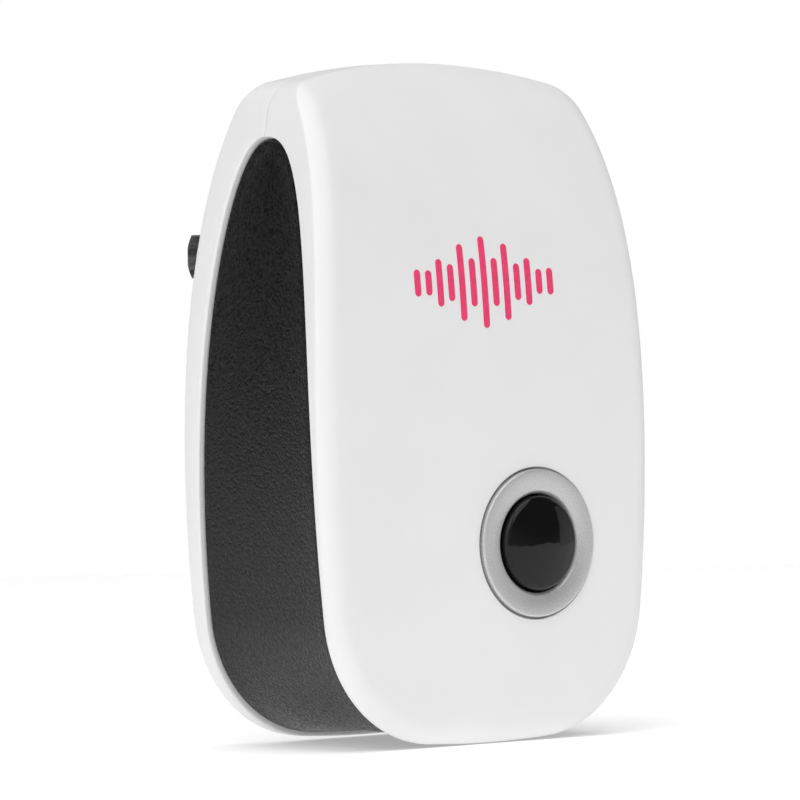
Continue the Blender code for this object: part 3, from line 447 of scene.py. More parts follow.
def window_curve(side, grow):
    """Window edge on the right half as (walked, reach), from its top to the underside."""
    depth = BAND_DEPTH[side] + grow
    top_z = BAND_TOP_Z + grow
    power, root = BAND_SHAPE[side]
    dense = []
    for step in range(200):
        reach = depth * 0.7 * step / 200
        rise = (1 - (reach / depth) ** root) ** (1 / power)
        dense.append((side_walked(BOTTOM_Z + rise * (top_z - BOTTOM_Z)), reach))
    start = dense[-1][0]
    for step in range(1, 401):
        walked = start + (HALF - start) * step / 400
        dense.append((walked, arch(rim(walked, 0.0)[1], depth, top_z, BAND_SHAPE[side])))
    return resample(dense, FINE)


def cover_walls(skin, side):
    """Both skins' side walls, the seam and window edges between them, and the rounded edges."""
    window = window_curve(side, 0.0)
    seam = resample([(0.0, SEAM_LINE), (window[0][0], SEAM_LINE)], FINE)
    window = [point for point in window if point[1] > SEAM_LINE + 0.1 * MM]
    edge = seam + window
    fillets = [SEAM_FILLET] * len(seam)
    fillets += [min(WINDOW_FILLET, SEAM_FILLET + 0.2 * (point[1] - SEAM_LINE)) for point in window]
    backed = offset(edge, fillets, closed=False)
    backed[0] = (0.0, backed[0][1])
    backed[-1] = (HALF, backed[-1][1])

    def outer(point, sink=0.0):
        return wall_point(side, *point, sink)

    def inner(point):
        return wall_point(side, *point, WALL)

    rows = []
    for step in range(5):
        turn = QUARTER * step / 4
        rows.append([outer(between(back, front, sin(turn)), fillet * (1 - cos(turn)))
                     for back, front, fillet in zip(backed, edge, fillets)])
    rows.append([inner(point) for point in edge])
    skin.strips(rows, closed=False)
    ring = stations(FINE)
    for lift, curve, inset, shape, fillet, spacing, steps in (
            (outer, backed, 0.0, OUTER_EDGE, RIDGE_FILLET, FACE_GRID, 8),
            (inner, edge, WALL, INNER_EDGE, 0.0, INNER_GRID, 2)):
        ridge = [edge_point(side, walked, 0.0, inset, shape) for walked in ring]
        top = [(walked, abs(point.y - SEAM_Y) - fillet) for walked, point in zip(ring, ridge)]
        skin.fill([curve + top[::-1]], spacing, lambda walked, reach: lift((walked, reach)))
        rows = [[lift(point) for point in top]]
        first = 0.0
        if fillet:
            first = fillet / shape[0] / (QUARTER - shape[1])
            crown = [edge_point(side, walked, first, inset, shape) for walked in ring]
            rows += [[(1 - share) ** 2 * start + 2 * share * (1 - share) * corner + share ** 2 * end
                      for start, corner, end in zip(rows[0], ridge, crown)] for share in (0.33, 0.67)]
            rows.append(crown)
        rows += [[edge_point(side, walked, first + (1 - first) * (step + 1) / steps, inset, shape)
                  for walked in ring] for step in range(steps)]
        skin.strips(rows, closed=False)


def face_loop(side, inset, edge):
    """The closed outline, as (x, z), where a cover's rounded edge ends on its face."""
    right = [edge_point(side, walked, 1.0, inset, edge) for walked in stations(FINE)]
    points = [(point.x, point.z) for point in right]
    points[0], points[-1] = (0.0, points[0][1]), (0.0, points[-1][1])
    return points + [(-x, z) for x, z in points[-2:0:-1]]


def fillet_rows(loop, fillet, steps, lift):
    """Rows over a small rounded edge, in to the anticlockwise loop; lift is told how deep each lies."""
    rows = []
    for step in range(steps + 1):
        turn = QUARTER * step / steps
        sink = fillet * (1 - cos(turn))
        rows.append([lift(*point, sink) for point in offset(loop, -fillet * (1 - sin(turn)))])
    return rows


def sunk_rows(side, loop, fillet, depth_y, steps=4):
    """A recess's mouth on a face, and its rows over a rounded edge to a flat depth."""
    rows = fillet_rows(loop, fillet, steps, lambda x, z, sink: on_face(side, sink)(x, z))
    return offset(loop, -fillet), rows + [lifted(loop, on_plane(depth_y))]


def on_plane(y):
    """Stands a flat (x, z) point up at one depth."""
    return lambda x, z: Vector((x, y, z))


def on_face(side, under=0.0):
    """Puts a flat (x, z) point on a cover's face, or under it."""
    return lambda x, z: Vector((x, face_y(side, z) - side * under, z))


def lifted(loop, lift):
    return [lift(*point) for point in loop]


def case_screw_places():
    """Centres of the case screws, as (x, z)."""
    places = []
    for index in range(4):
        low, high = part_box(f"case_screw_{index + 1}")
        places.append(((low.x + high.x) / 2, (low.z + high.z) / 2))
    return places


# ---------------------------------------------------------------- front cover

def front_cover(material):
    skin = Skin()
    cover_walls(skin, FRONT)
    skin.mirror()
    seat_y = FACE_Y + RING_SEAT + GAP
    seat = circle(BUTTON_X, BUTTON_Z, RING_RADIUS + GAP, 96)
    hole = circle(BUTTON_X, BUTTON_Z, COLLAR_RADIUS + GAP, 96)
    seat_mouth, rows = sunk_rows(FRONT, seat, 0.15 * MM, seat_y)
    skin.strips(rows)
    skin.fill([face_loop(FRONT, 0.0, OUTER_EDGE), seat_mouth], FACE_GRID, on_face(FRONT))
    skin.fill([seat, hole], FINE, on_plane(seat_y))
    skin.fill([face_loop(FRONT, WALL, INNER_EDGE), hole], INNER_GRID, on_face(FRONT, WALL))
    skin.strip(lifted(hole, on_plane(seat_y)), lifted(hole, on_face(FRONT, WALL)))
    settle(skin.piece("front_shell", material), "root", "white_plastic", "front_cover")


def front_posts(material):
    """The screw posts inside the front cover."""
    for index, (x, z) in enumerate(case_screw_places()):
        base = face_depth(FRONT, z) - WALL / 2
        bore = CASE_SHANK_RADIUS + GAP
        profile = [(0.0, base), (CASE_POST_RADIUS, base), (CASE_POST_RADIUS, GAP / 2 + 0.3 * MM),
                   (CASE_POST_RADIUS - 0.3 * MM, GAP / 2), (bore + 0.3 * MM, GAP / 2),
                   (bore, GAP / 2 + 0.3 * MM), (bore, 9.0 * MM), (0.0, 9.0 * MM)]
        skin = Skin()
        skin.strips(lathe(profile, towards((0, -1, 0), x, SEAM_Y, z), 24))
        settle(skin.piece(f"front_post_{index + 1}", material), "root", "white_plastic")


# ---------------------------------------------------------------- rear cover

def rear_cover(material):
    skin = Skin()
    cover_walls(skin, REAR)
    skin.mirror()
    outer_holes = [face_loop(REAR, 0.0, OUTER_EDGE)]
    inner_holes = [face_loop(REAR, WALL, INNER_EDGE)]
    for x, z in case_screw_places():
        outer_holes.append(screw_well(skin, x, z))
        inner_holes.append(circle(x, z, CASE_TUBE_RADIUS, 48))
    boss_root, boss_hollow = plug_boss(skin)
    outer_holes += [boss_root, label_recess(skin)]
    inner_holes.append(boss_hollow)
    skin.fill(outer_holes, FACE_GRID, on_face(REAR))
    skin.fill(inner_holes, INNER_GRID, on_face(REAR, WALL))
    settle(skin.piece("rear_shell", material), "root", "white_plastic", "rear_cover")


def screw_well(skin, x, z):
    """A screw tube, open to the back; returns the well's mouth on the face."""
    well = circle(x, z, CASE_WELL_RADIUS, 48)
    mouth, rows = sunk_rows(REAR, well, HOLE_FILLET, SEAM_Y + CASE_SEAT)
    bore = circle(x, z, CASE_SHANK_RADIUS + GAP, 48)
    tube = circle(x, z, CASE_TUBE_RADIUS, 48)
    tube_end = on_plane(SEAM_Y + GAP / 2)
    rows += [lifted(bore, on_plane(SEAM_Y + CASE_SEAT)), lifted(bore, tube_end),
             lifted(tube, tube_end), lifted(tube, on_face(REAR, WALL))]
    skin.strips(rows)
    return mouth


def plug_boss(skin):
    """The hollow boss that holds the blades; returns its loops on the outer and inner faces."""
    outline = subdivided(rounded_rectangle(0, 0, BOSS_WIDTH, BOSS_HEIGHT, BOSS_CORNER, 10), 1.5 * MM)
    rows = fillet_rows(outline, ROOT_FILLET, 5, lambda x, z, rise: on_face(REAR, -rise)(x, z))
    for step in range(6):
        turn = QUARTER * step / 5
        moved = offset(outline, BOSS_ROUND_OFF * (1 - cos(turn)))
        rows.append(lifted(moved, on_plane(-BOSS_ROUND_OFF * (1 - sin(turn)))))
    skin.strips(rows)
    end_loops = [offset(outline, BOSS_ROUND_OFF)]
    inner_face = on_plane(-BOSS_END_WALL)
    hollow = subdivided(rounded_rectangle(0, 0, BOSS_WIDTH - 2 * BOSS_WALL, BOSS_HEIGHT - 2 * BOSS_WALL,
                                          BOSS_CORNER - BOSS_WALL, 6), 2 * MM)
    inner_loops = [hollow]
    for name in ("blade_left", "blade_right"):
        low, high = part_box(name)
        slot = subdivided(rounded_rectangle((low.x + high.x) / 2, 0, high.x - low.x + 2 * GAP,
                                            BLADE_HEIGHT + 2 * GAP, 0.3 * MM, 3), FINE)
        rows = fillet_rows(slot, HOLE_FILLET, 3, lambda x, z, sink: Vector((x, -sink, z)))
        skin.strips(rows + [lifted(slot, inner_face)])
        end_loops.append(offset(slot, -HOLE_FILLET))
        inner_loops.append(slot)
    skin.fill(end_loops, 2 * MM, on_plane(0.0))
    skin.fill(inner_loops, INNER_GRID, inner_face)
    skin.strip(lifted(hollow, inner_face), lifted(hollow, on_face(REAR, WALL)))
    return offset(outline, -ROOT_FILLET), hollow


def label_recess(skin):
    floor_y = SEAM_Y + DEPTH[REAR] - LABEL_RECESS
    centre_z = (label_low.z + label_high.z) / 2
    width = label_high.x - label_low.x + 2 * GAP
    height = label_high.z - label_low.z + 2 * GAP
    outline = subdivided(rounded_rectangle(0, centre_z, width, height, LABEL_CORNER + GAP), 1.5 * MM)
    mouth, rows = sunk_rows(REAR, outline, 0.1 * MM, floor_y, 2)
    skin.strips(rows)
    skin.fill([outline], 3 * MM, on_plane(floor_y))
    return mouth


def seam_tongue(material):
    """The strip behind the seam that locates the covers on each other, above the band."""
    skin = Skin()
    limit = side_walked(BAND_TOP_Z) - TONGUE_END
    walked = [distance for distance in stations(2 * MM) if distance < limit] + [limit]
    walked = [2 * HALF - distance for distance in walked[:0:-1]] + walked
    outer, inner = WALL + TONGUE_CLEARANCE, WALL + TONGUE_THICKNESS + TONGUE_CLEARANCE
    rows = [[wall_point(side, distance, TONGUE_REACH, inset) for distance in walked]
            for side, inset in ((FRONT, outer), (FRONT, inner), (REAR, inner), (REAR, outer))]
    skin.strips(rows + rows[:1], closed=False)
    for end in (0, -1):
        skin.mesh.faces.new([skin.mesh.verts.new(row[end]) for row in rows])
    settle(skin.piece("seam_tongue", material), "root", "white_plastic")


# ---------------------------------------------------------------- side band

def band_reach(side, walked):
    return arch(rim(walked, 0.0)[1], BAND_DEPTH[side] - GAP, BAND_TOP_Z - GAP, BAND_SHAPE[side])


def band_inset(walked, y):
    """How far in the band's dished surface lies, deepest midway between its edges."""
    front, rear = -band_reach(FRONT, walked), band_reach(REAR, walked)
    width = max(rear - front, 0.1 * MM)
    share = min(max((y - front) / width, 0.0), 1.0)
    hollow = (4 * share * (1 - share)) ** 0.8
    return BAND_INSET + BAND_DISH * hollow * min(1.0, width / (8 * MM))


def side_band(material):
    """The U-shaped band, drawn flat as (walked, distance behind the seam) and wrapped round."""
    front = [(walked, -reach) for walked, reach in window_curve(FRONT, -GAP)]
    rear = window_curve(REAR, -GAP)
    left = [(2 * HALF - walked, y) for walked, y in front[-2::-1] + rear[1:]]
    border = front + left + rear[-2:0:-1]
    backed = offset(border, BAND_FILLET)
    lip_border = offset(border, -(BAND_LIP + GAP))
    lip_inset = WALL + GAP
    under_inset = lip_inset + BAND_THICKNESS

    def wrap(point, inset, limited=False):
        walked = min(max(point[0], 0.0), 2 * HALF)
        y = point[1]
        x, z = rim(walked, inset)
        if limited:
            y = min(max(y, lip_inset - face_depth(FRONT, z)), face_depth(REAR, z) - lip_inset)
        return Vector((x, SEAM_Y + y, z))

    rows = []
    for step in range(5):
        turn = QUARTER * step / 4
        row = []
        for back, edge in zip(backed, border):
            point = between(back, edge, sin(turn))
            row.append(wrap(point, band_inset(*back) + BAND_FILLET * (1 - cos(turn))))
        rows.append(row)
    rows.append([wrap(point, lip_inset) for point in border])
    rows.append([wrap(point, lip_inset, True) for point in lip_border])
    rows.append([wrap(point, under_inset, True) for point in lip_border])
    skin = Skin()
    skin.strips(rows)
    outer_loops, inner_loops = [backed], [lip_border]
    slot_y = (BAND_DEPTH[REAR] - BAND_DEPTH[FRONT]) / 2
    for index in range(SLOT_COUNT):
        walked = HALF + (index - (SLOT_COUNT - 1) / 2) * SLOT_PITCH
        slot = subdivided(rounded_rectangle(walked, slot_y, SLOT_WIDTH, SLOT_LENGTH,
                                            SLOT_WIDTH / 2 - 0.01 * MM, 6), 1.0 * MM)
        rows = fillet_rows(slot, HOLE_FILLET, 3,
                           lambda walked, y, sink: wrap((walked, y), band_inset(walked, y) + sink))
        skin.strips(rows + [[wrap(point, under_inset, True) for point in slot]])
        outer_loops.append(offset(slot, -HOLE_FILLET))
        inner_loops.append(slot)
    skin.fill(outer_loops, FACE_GRID, lambda walked, y: wrap((walked, y), band_inset(walked, y)))
    skin.fill(inner_loops, 2.5 * MM, lambda walked, y: wrap((walked, y), under_inset, True))
    settle(skin.piece("u_band", material), "root", "black_plastic", "side_band")


# ---------------------------------------------------------------- button

def button_ring(material):
    """Heights are counted outwards from the front face."""
    outer, bore = RING_RADIUS, RING_BORE
    round_off, chamfer = 0.3 * MM, 0.45 * MM
    profile = [(bore, -COLLAR_LENGTH), (bore, RING_FRONT - chamfer)]
    profile += [(bore + 0.1 * MM, RING_FRONT - chamfer + 0.14 * MM),
                (bore + chamfer - 0.08 * MM, RING_FRONT - 0.05 * MM), (bore + chamfer, RING_FRONT)]
    profile += [(outer - round_off - 0.2 * MM, RING_FRONT)]
    profile += arc_profile((outer - round_off, RING_FRONT - round_off), round_off, 90, 0, 6)
    profile += [(outer, -RING_SEAT), (COLLAR_RADIUS, -RING_SEAT), (COLLAR_RADIUS, -COLLAR_LENGTH)]
    skin = Skin()
    skin.strips(lathe(profile, towards((0, -1, 0), BUTTON_X, FACE_Y, BUTTON_Z), 144, closed=True))
    settle(skin.piece("button_ring", material), "root", "silver_ring", "button_bezel")


def button_dome(material):
    """A domed cap with a rounded shoulder, a guide skirt and a stem."""
    shoulder = 1.0 * MM
    crown = 0.8 * MM
    reach = CAP_RADIUS - shoulder * 0.72
    ball = (reach ** 2 + crown ** 2) / (2 * crown)
    sweep = asin(reach / ball)
    profile = [(ball * sin(sweep * step / 14), CAP_FRONT - ball * (1 - cos(sweep * step / 14)))
               for step in range(15)]
    centre = (CAP_RADIUS - shoulder, CAP_FRONT - crown - shoulder * 0.93)
    profile += arc_profile(centre, shoulder, 66, 0, 8)
    flange_top, flange_radius = -COLLAR_LENGTH - GAP, CAP_RADIUS + 1.9 * MM
    flange_foot, stem_foot = flange_top - 1.0 * MM, FACE_Y - cap_high.y
    roof, inside, stem = 0.0, CAP_RADIUS - 1.2 * MM, 1.6 * MM
    profile += [(CAP_RADIUS, flange_top), (flange_radius, flange_top), (flange_radius, flange_foot),
                (inside, flange_foot), (inside, roof), (stem, roof), (stem, stem_foot), (0.0, stem_foot)]
    skin = Skin()
    skin.strips(lathe(profile, towards((0, -1, 0), BUTTON_X, FACE_Y, BUTTON_Z), 96))
    settle(skin.piece("button_dome", material), "button", "gloss_black", "button_cap")


# ---------------------------------------------------------------- flat pieces

def slab(loops, low, high, bevel, lift, grid):
    """A closed plate: flat loops between two heights, with bevelled edges, lifted into place."""
    skin = Skin()
    for loop, inward in zip(loops, [1] + [-1] * (len(loops) - 1)):
        rows = [[lift(*point, height) for point in offset(loop, inward * moved)]
                for height, moved in ((low, bevel), (low + bevel, 0.0), (high - bevel, 0.0), (high, bevel))]
        skin.strips(rows)
    for height in (low, high):
        moved = [offset(loop, (1 if index == 0 else -1) * bevel) for index, loop in enumerate(loops)]
        skin.fill(moved, grid, lambda u, v, height=height: lift(u, v, height))
    return skin


def blades(material):
    """Flat plug blades with bevelled edges, round tips and a contact hole."""
    half, tip_radius, tip_flat = BLADE_HEIGHT / 2, 5.2 * MM, 1.2 * MM
    shoulder_start, shoulder_end, shoulder = -2.8 * MM, -4.3 * MM, 4.6 * MM
    tab, tab_end = 2.5 * MM, -12.1 * MM
    hole_y, hole_radius = 11.9 * MM, 1.6 * MM
    first, last = asin(tip_flat / tip_radius), asin(half / tip_radius)
    turns = [first + (last - first) * step / 10 for step in range(11)]
    upper = [(BLADE_LENGTH + tip_radius * (cos(turn) - cos(first)), tip_radius * sin(turn))
             for turn in turns]
    upper += [(shoulder_start, half), (shoulder_start, shoulder), (shoulder_end, shoulder),
              (shoulder_end, tab), (tab_end, tab)]
    outline = subdivided(upper + [(y, -z) for y, z in reversed(upper)], 2 * MM)
    hole = circle(hole_y, 0, hole_radius, 40)
    for name, piece in (("blade_left", "plug_blade_left"), ("blade_right", "plug_blade_right")):
        low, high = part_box(name)
        skin = slab([outline, hole], low.x, high.x, 0.2 * MM, lambda y, z, x: Vector((x, y, z)), 3 * MM)
        settle(skin.piece(piece, material, 25), "root", "blade_metal", name)


def label(material):
    centre_z = (label_low.z + label_high.z) / 2
    width, height = label_high.x - label_low.x, label_high.z - label_low.z
    outline = subdivided(rounded_rectangle(0, centre_z, width, height, LABEL_CORNER), 2 * MM)
    skin = slab([outline], label_low.y, label_high.y, 0.08 * MM, lambda x, z, y: Vector((x, y, z)), 3 * MM)
    settle(skin.piece("label_plate", material), "root", "label_film", "rating_label")


def sound_mark(material):
    """A printed row of upright rounded bars, like a sound level, on the upper face."""
    count, pitch, width = 13, 2.05 * MM, 1.15 * MM
    centre_z = -4.3 * MM
    middle = (count - 1) / 2
    for index in range(count):
        away = index - middle
        height = (2.4 + 10.4 * exp(-(away / 4.2) ** 2) * (0.72 + 0.28 * cos(pi * away))) * MM
        bar = rounded_rectangle(away * pitch, centre_z, width, height, width / 2 - 0.01 * MM, 6)
        bar = subdivided(bar, 1.0 * MM)
        skin = slab([bar], -INK_HEIGHT, INK_HEIGHT, 0.02 * MM,
                    lambda x, z, up: Vector((x, face_y(FRONT, z) - up, z)), 1.0 * MM)
        settle(skin.piece(f"sound_bar_{index + 1}", material), "root", "white_plastic")


# ---------------------------------------------------------------- screws

def cross_outline(reach, half_width):
    """A cross-shaped drive recess, from the right arm round."""
    points = []
    for arm in range(4):
        angle = QUARTER * arm
        for along, across in ((half_width, -half_width), (reach, -half_width), (reach, half_width)):
            points.append((along * cos(angle) - across * sin(angle),
                           along * sin(angle) + across * cos(angle)))
    return points


def case_screws(material):
    for index, (x, z) in enumerate(case_screw_places()):
        low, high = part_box(f"case_screw_{index + 1}")
        seat = SEAM_Y + CASE_SEAT + GAP
        head, height, length = 2.5 * MM, high.y - seat, seat - low.y
        matrix = towards((0, 1, 0), x, seat, z)
        shank = CASE_SHANK_RADIUS
        profile = [(0.0, -length), (shank * 0.4, -length), (shank, -length + shank)]
        turns = 9
        for turn in range(turns):
            top = -length + shank + turn * 0.9 * MM
            profile += [(shank, top + 0.25 * MM), (shank * 0.72, top + 0.45 * MM),
                        (shank * 0.72, top + 0.65 * MM), (shank, top + 0.85 * MM)]
        profile += [(shank, 0.0), (head, 0.0), (head, height * 0.45)]
        dome = [(head * cos(angle), height * (0.45 + 0.55 * sin(angle) ** 0.8))
                for angle in (QUARTER * step / 6 for step in range(1, 5))]
        profile += dome
        rows = lathe(profile, matrix, 40)
        skin = Skin()
        skin.strips(rows)
        flat_radius, flat_height = dome[-1]
        cross = cross_outline(flat_radius * 0.88, 0.28 * MM)
        rim_loop = circle(0, 0, flat_radius, 40)
        skin.fill([rim_loop, cross], 1 * MM, lambda u, v: matrix @ Vector((u, v, flat_height)))
        deep = [(u * 0.55, v * 0.55) for u, v in cross]
        floor = flat_height - 1.0 * MM
        skin.strip([matrix @ Vector((u, v, flat_height)) for u, v in cross],
                   [matrix @ Vector((u, v, floor)) for u, v in deep])
        skin.fill([deep], 1 * MM, lambda u, v: matrix @ Vector((u, v, floor)))
        settle(skin.piece(f"case_screw_pan_{index + 1}", material), "root", "steel",
               f"case_screw_{index + 1}")


def spring_coil(material):
    """The coil behind the button. It is drawn at one length; the real coil shortens from its front end as
    the button goes in.
    """
    low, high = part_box("switch_spring")
    wire, turns, per_turn = 0.2 * MM, 4, 24
    centre = Vector(((low.x + high.x) / 2, 0, (low.z + high.z) / 2))
    radius = (high.x - low.x) / 2 - wire
    start, end = low.y + wire, high.y - wire
    along = Vector((0, 1, 0))
    rows = []
    for step in range(turns * per_turn + 1):
        angle = 2 * pi * step / per_turn
        out = Vector((cos(angle), 0, sin(angle)))
        middle = centre + out * radius + along * (start + (end - start) * step / (turns * per_turn))
        rows.append([middle + (out * across + along * up) for across, up in circle(0, 0, wire, 8)])
    skin = Skin()
    skin.strips(rows)
    for row in (rows[0], rows[-1]):
        skin.mesh.faces.new([skin.mesh.verts.new(point) for point in row])
    item = settle(skin.piece("spring_coil", material), "root", "steel", "switch_spring")
    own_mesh(item)


# ---------------------------------------------------------------- materials

class Finish:
    """A Principled material with procedural variation in object space."""

    def __init__(self, name, color, roughness, metallic=0.0, specular=0.5):
        self.material = bpy.data.materials.new(name)
        self.material.use_nodes = True
        self.node = self.material.node_tree.nodes.new
        self.link = self.material.node_tree.links.new
        self.shader = self.material.node_tree.nodes["Principled BSDF"]
        self.color = color
        self.roughness = roughness
        for socket, value in (("Base Color", (*color, 1.0)), ("Roughness", roughness),
                              ("Metallic", metallic), ("Specular IOR Level", specular)):
            self.shader.inputs[socket].default_value = value
        self.place = self.node("ShaderNodeTexCoord").outputs["Object"]
        self.last_normal = None

    def noise(self, size, detail=2.0, stretch=(1, 1, 1)):
        """Noise whose blotches are about size metres across."""
        mapping = self.node("ShaderNodeMapping")
        mapping.inputs["Scale"].default_value = stretch
        texture = self.node("ShaderNodeTexNoise")
        texture.inputs["Scale"].default_value = 1 / size
        texture.inputs["Detail"].default_value = detail
        self.link(self.place, mapping.inputs["Vector"])
        self.link(mapping.outputs["Vector"], texture.inputs["Vector"])
        return texture.outputs["Fac"]

    def cells(self, size):
        texture = self.node("ShaderNodeTexVoronoi")
        texture.inputs["Scale"].default_value = 1 / size
        self.link(self.place, texture.inputs["Vector"])
        return texture.outputs["Distance"]

    def tint(self, source, spread):
        """Varies the colour about its middle by the spread, both ways."""
        ramp = self.node("ShaderNodeValToRGB")
        first, last = ramp.color_ramp.elements
        first.position, last.position = 0.3, 0.7
        first.color = (*[max(0.0, channel * (1 - spread)) for channel in self.color], 1.0)
        last.color = (*[min(1.0, channel * (1 + spread)) for channel in self.color], 1.0)
        self.link(source, ramp.inputs["Fac"])
        self.link(ramp.outputs["Color"], self.shader.inputs["Base Color"])
        return self

    def gloss(self, source, spread):
        """Varies the roughness about its middle by the spread, both ways."""
        fit = self.node("ShaderNodeMapRange")
        for socket, value in (("From Min", 0.36), ("From Max", 0.7),
                              ("To Min", max(0.02, self.roughness - spread)),
                              ("To Max", min(1.0, self.roughness + spread))):
            fit.inputs[socket].default_value = value
        self.link(source, fit.inputs["Value"])
        self.link(fit.outputs["Result"], self.shader.inputs["Roughness"])
        return self

    def bump(self, source, height):
        relief = self.node("ShaderNodeBump")
        relief.inputs["Distance"].default_value = height
        self.link(source, relief.inputs["Height"])
        if self.last_normal:
            self.link(self.last_normal, relief.inputs["Normal"])
        self.last_normal = relief.outputs["Normal"]
        self.link(self.last_normal, self.shader.inputs["Normal"])
        return self


def white_plastic():
    """Satin white ABS: very fine moulded texture and faint flow variation."""
    finish = Finish("white_abs", (0.80, 0.80, 0.80), 0.42)
    finish.tint(finish.noise(14 * MM, 3), 0.012)
    finish.gloss(finish.noise(0.5 * MM, 2), 0.05)
    finish.bump(finish.noise(0.28 * MM, 2), 0.006 * MM)
    finish.bump(finish.noise(9 * MM, 1), 0.03 * MM)
    return finish.material


def black_plastic():
    """Black ABS with a spark-eroded grain."""
    finish = Finish("black_abs", (0.0065, 0.0065, 0.007), 0.36, specular=0.34)
    grain = finish.noise(0.42 * MM, 3)
    finish.tint(finish.noise(0.7 * MM, 3), 0.6)
    finish.gloss(grain, 0.16)
    finish.bump(grain, 0.09 * MM)
    finish.bump(finish.cells(0.5 * MM), 0.03 * MM)
    return finish.material


def silver_paint():
    """Satin silver lacquer with fine flakes."""
    finish = Finish("satin_silver", (0.54, 0.54, 0.545), 0.42, 0.5)
    finish.tint(finish.noise(0.2 * MM, 3), 0.16)
    finish.gloss(finish.noise(0.25 * MM, 2), 0.08)
    finish.bump(finish.noise(0.18 * MM, 2), 0.004 * MM)
    return finish.material


def gloss_black():
    """Polished black plastic with a faint moulding wave."""
    finish = Finish("polished_black", (0.005, 0.005, 0.0055), 0.05, specular=0.26)
    finish.gloss(finish.noise(2 * MM, 3), 0.02)
    finish.bump(finish.noise(4.5 * MM, 2), 0.10 * MM)
    return finish.material


def plated(name, color, roughness, stretch):
    """Plated metal with fine drawn streaks."""
    finish = Finish(name, color, roughness, 1.0)
    streaks = finish.noise(0.6 * MM, 4, stretch)
    finish.tint(streaks, 0.12)
    finish.gloss(streaks, 0.12)
    finish.bump(streaks, 0.006 * MM)
    return finish.material


def coated(name, color, roughness, grain, spread, height, metallic=0.0):
    """A plain moulded, lacquered or fired surface with its own grain size."""
    finish = Finish(name, color, roughness, metallic)
    finish.tint(finish.noise(grain * 4, 3), spread)
    finish.gloss(finish.noise(grain, 2), 0.08)
    finish.bump(finish.noise(grain, 3), height)
    return finish.material


def board_laminate():
    """Green solder mask over a woven laminate."""
    finish = Finish("solder_mask", (0.03, 0.16, 0.06), 0.35)
    finish.tint(finish.noise(6 * MM, 4), 0.25)
    weave = finish.noise(0.5 * MM, 2, (1, 1, 0.2))
    finish.gloss(weave, 0.1)
    finish.bump(weave, 0.01 * MM)
    return finish.material


def ink():
    finish = Finish("magenta_ink", (0.80, 0.045, 0.155), 0.45)
    finish.tint(finish.noise(0.5 * MM, 3), 0.10)
    finish.bump(finish.noise(0.2 * MM, 2), 0.004 * MM)
    return finish.material


def dress_inner_nodes():
    """Gives the inner CAD nodes their materials; returns the steel for the screws and spring."""
    epoxy = coated("moulded_epoxy", (0.02, 0.02, 0.02), 0.55, 0.3 * MM, 0.3, 0.02 * MM)
    red = coated("red_insulation", (0.50, 0.015, 0.015), 0.4, 0.8 * MM, 0.15, 0.01 * MM)
    black = coated("black_insulation", (0.015, 0.015, 0.015), 0.4, 0.8 * MM, 0.3, 0.01 * MM)
    steel = plated("zinc_steel", (0.55, 0.55, 0.54), 0.3, (1, 1, 1))
    brass = plated("rolled_brass", (0.72, 0.50, 0.20), 0.3, (1, 0.15, 1))
    finishes = {
        "main_board": board_laminate(),
        "film_capacitor": coated("yellow_case", (0.75, 0.45, 0.04), 0.4, 0.5 * MM, 0.08, 0.01 * MM),
        "filter_capacitor": coated("dark_sleeve", (0.015, 0.025, 0.07), 0.3, 1.5 * MM, 0.2, 0.02 * MM),
        "fuse_resistor": coated("blue_lacquer", (0.15, 0.30, 0.36), 0.4, 0.6 * MM, 0.15, 0.02 * MM),
        "boost_coil": coated("sintered_ferrite", (0.05, 0.05, 0.052), 0.7, 0.3 * MM, 0.3, 0.04 * MM),
        "status_led": coated("tinted_lens", (0.25, 0.35, 0.80), 0.12, 2 * MM, 0.1, 0.005 * MM),
        "piezo_ceramic": coated("fired_ceramic", (0.78, 0.75, 0.66), 0.55, 0.4 * MM, 0.08, 0.02 * MM),
        "piezo_disc": brass, "switch_spring": steel, "switch_plunger": red, "line_wire": red,
        "speaker_wire_1": red, "neutral_wire": black, "speaker_wire_2": black,
        "blade_holder": coated("natural_nylon", (0.75, 0.74, 0.70), 0.5, 0.5 * MM, 0.05, 0.02 * MM),
    }
    for node in ("switch_housing", "driver_chip", "speaker_frame", "bridge_diode_1",
                 "bridge_diode_2", "bridge_diode_3", "bridge_diode_4"):
        finishes[node] = epoxy
    for node in ("holder_screw_1", "holder_screw_2", "board_screw_1", "board_screw_2"):
        finishes[node] = steel
    for node, material in finishes.items():
        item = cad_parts[node]
        item.data.materials.clear()
        item.data.materials.append(material)
    return steel


# ---------------------------------------------------------------- camera, floor and light

def heading(turn, tilt):
    """Direction away from the object, in degrees: turn 0 is its front, negative its left."""
    turn, tilt = radians(turn), radians(tilt)
    return Vector((sin(turn) * cos(tilt), -cos(turn) * cos(tilt), sin(tilt)))


def camera():
    """The view that the object is shown from: from its left front, almost level."""
    roll, distance, lens = radians(-0.84), 916.1 * MM, 292.3
    target = Vector((-2.82 * MM, SEAM_Y, -20.74 * MM))
    back = heading(-40.71, 1.0)
    data = bpy.data.cameras.new("camera")
    data.lens = lens
    data.sensor_width = 36
    data.clip_start, data.clip_end = 0.01, 100
    item = bpy.data.objects.new("camera", data)
    bpy.context.scene.collection.objects.link(item)
    level = (-back).to_track_quat("-Z", "Y").to_matrix().to_4x4()
    rolled = level @ Matrix.Rotation(roll, 4, "Z")
    item.matrix_world = Matrix.Translation(target + back * distance) @ rolled
    bpy.context.scene.camera = item


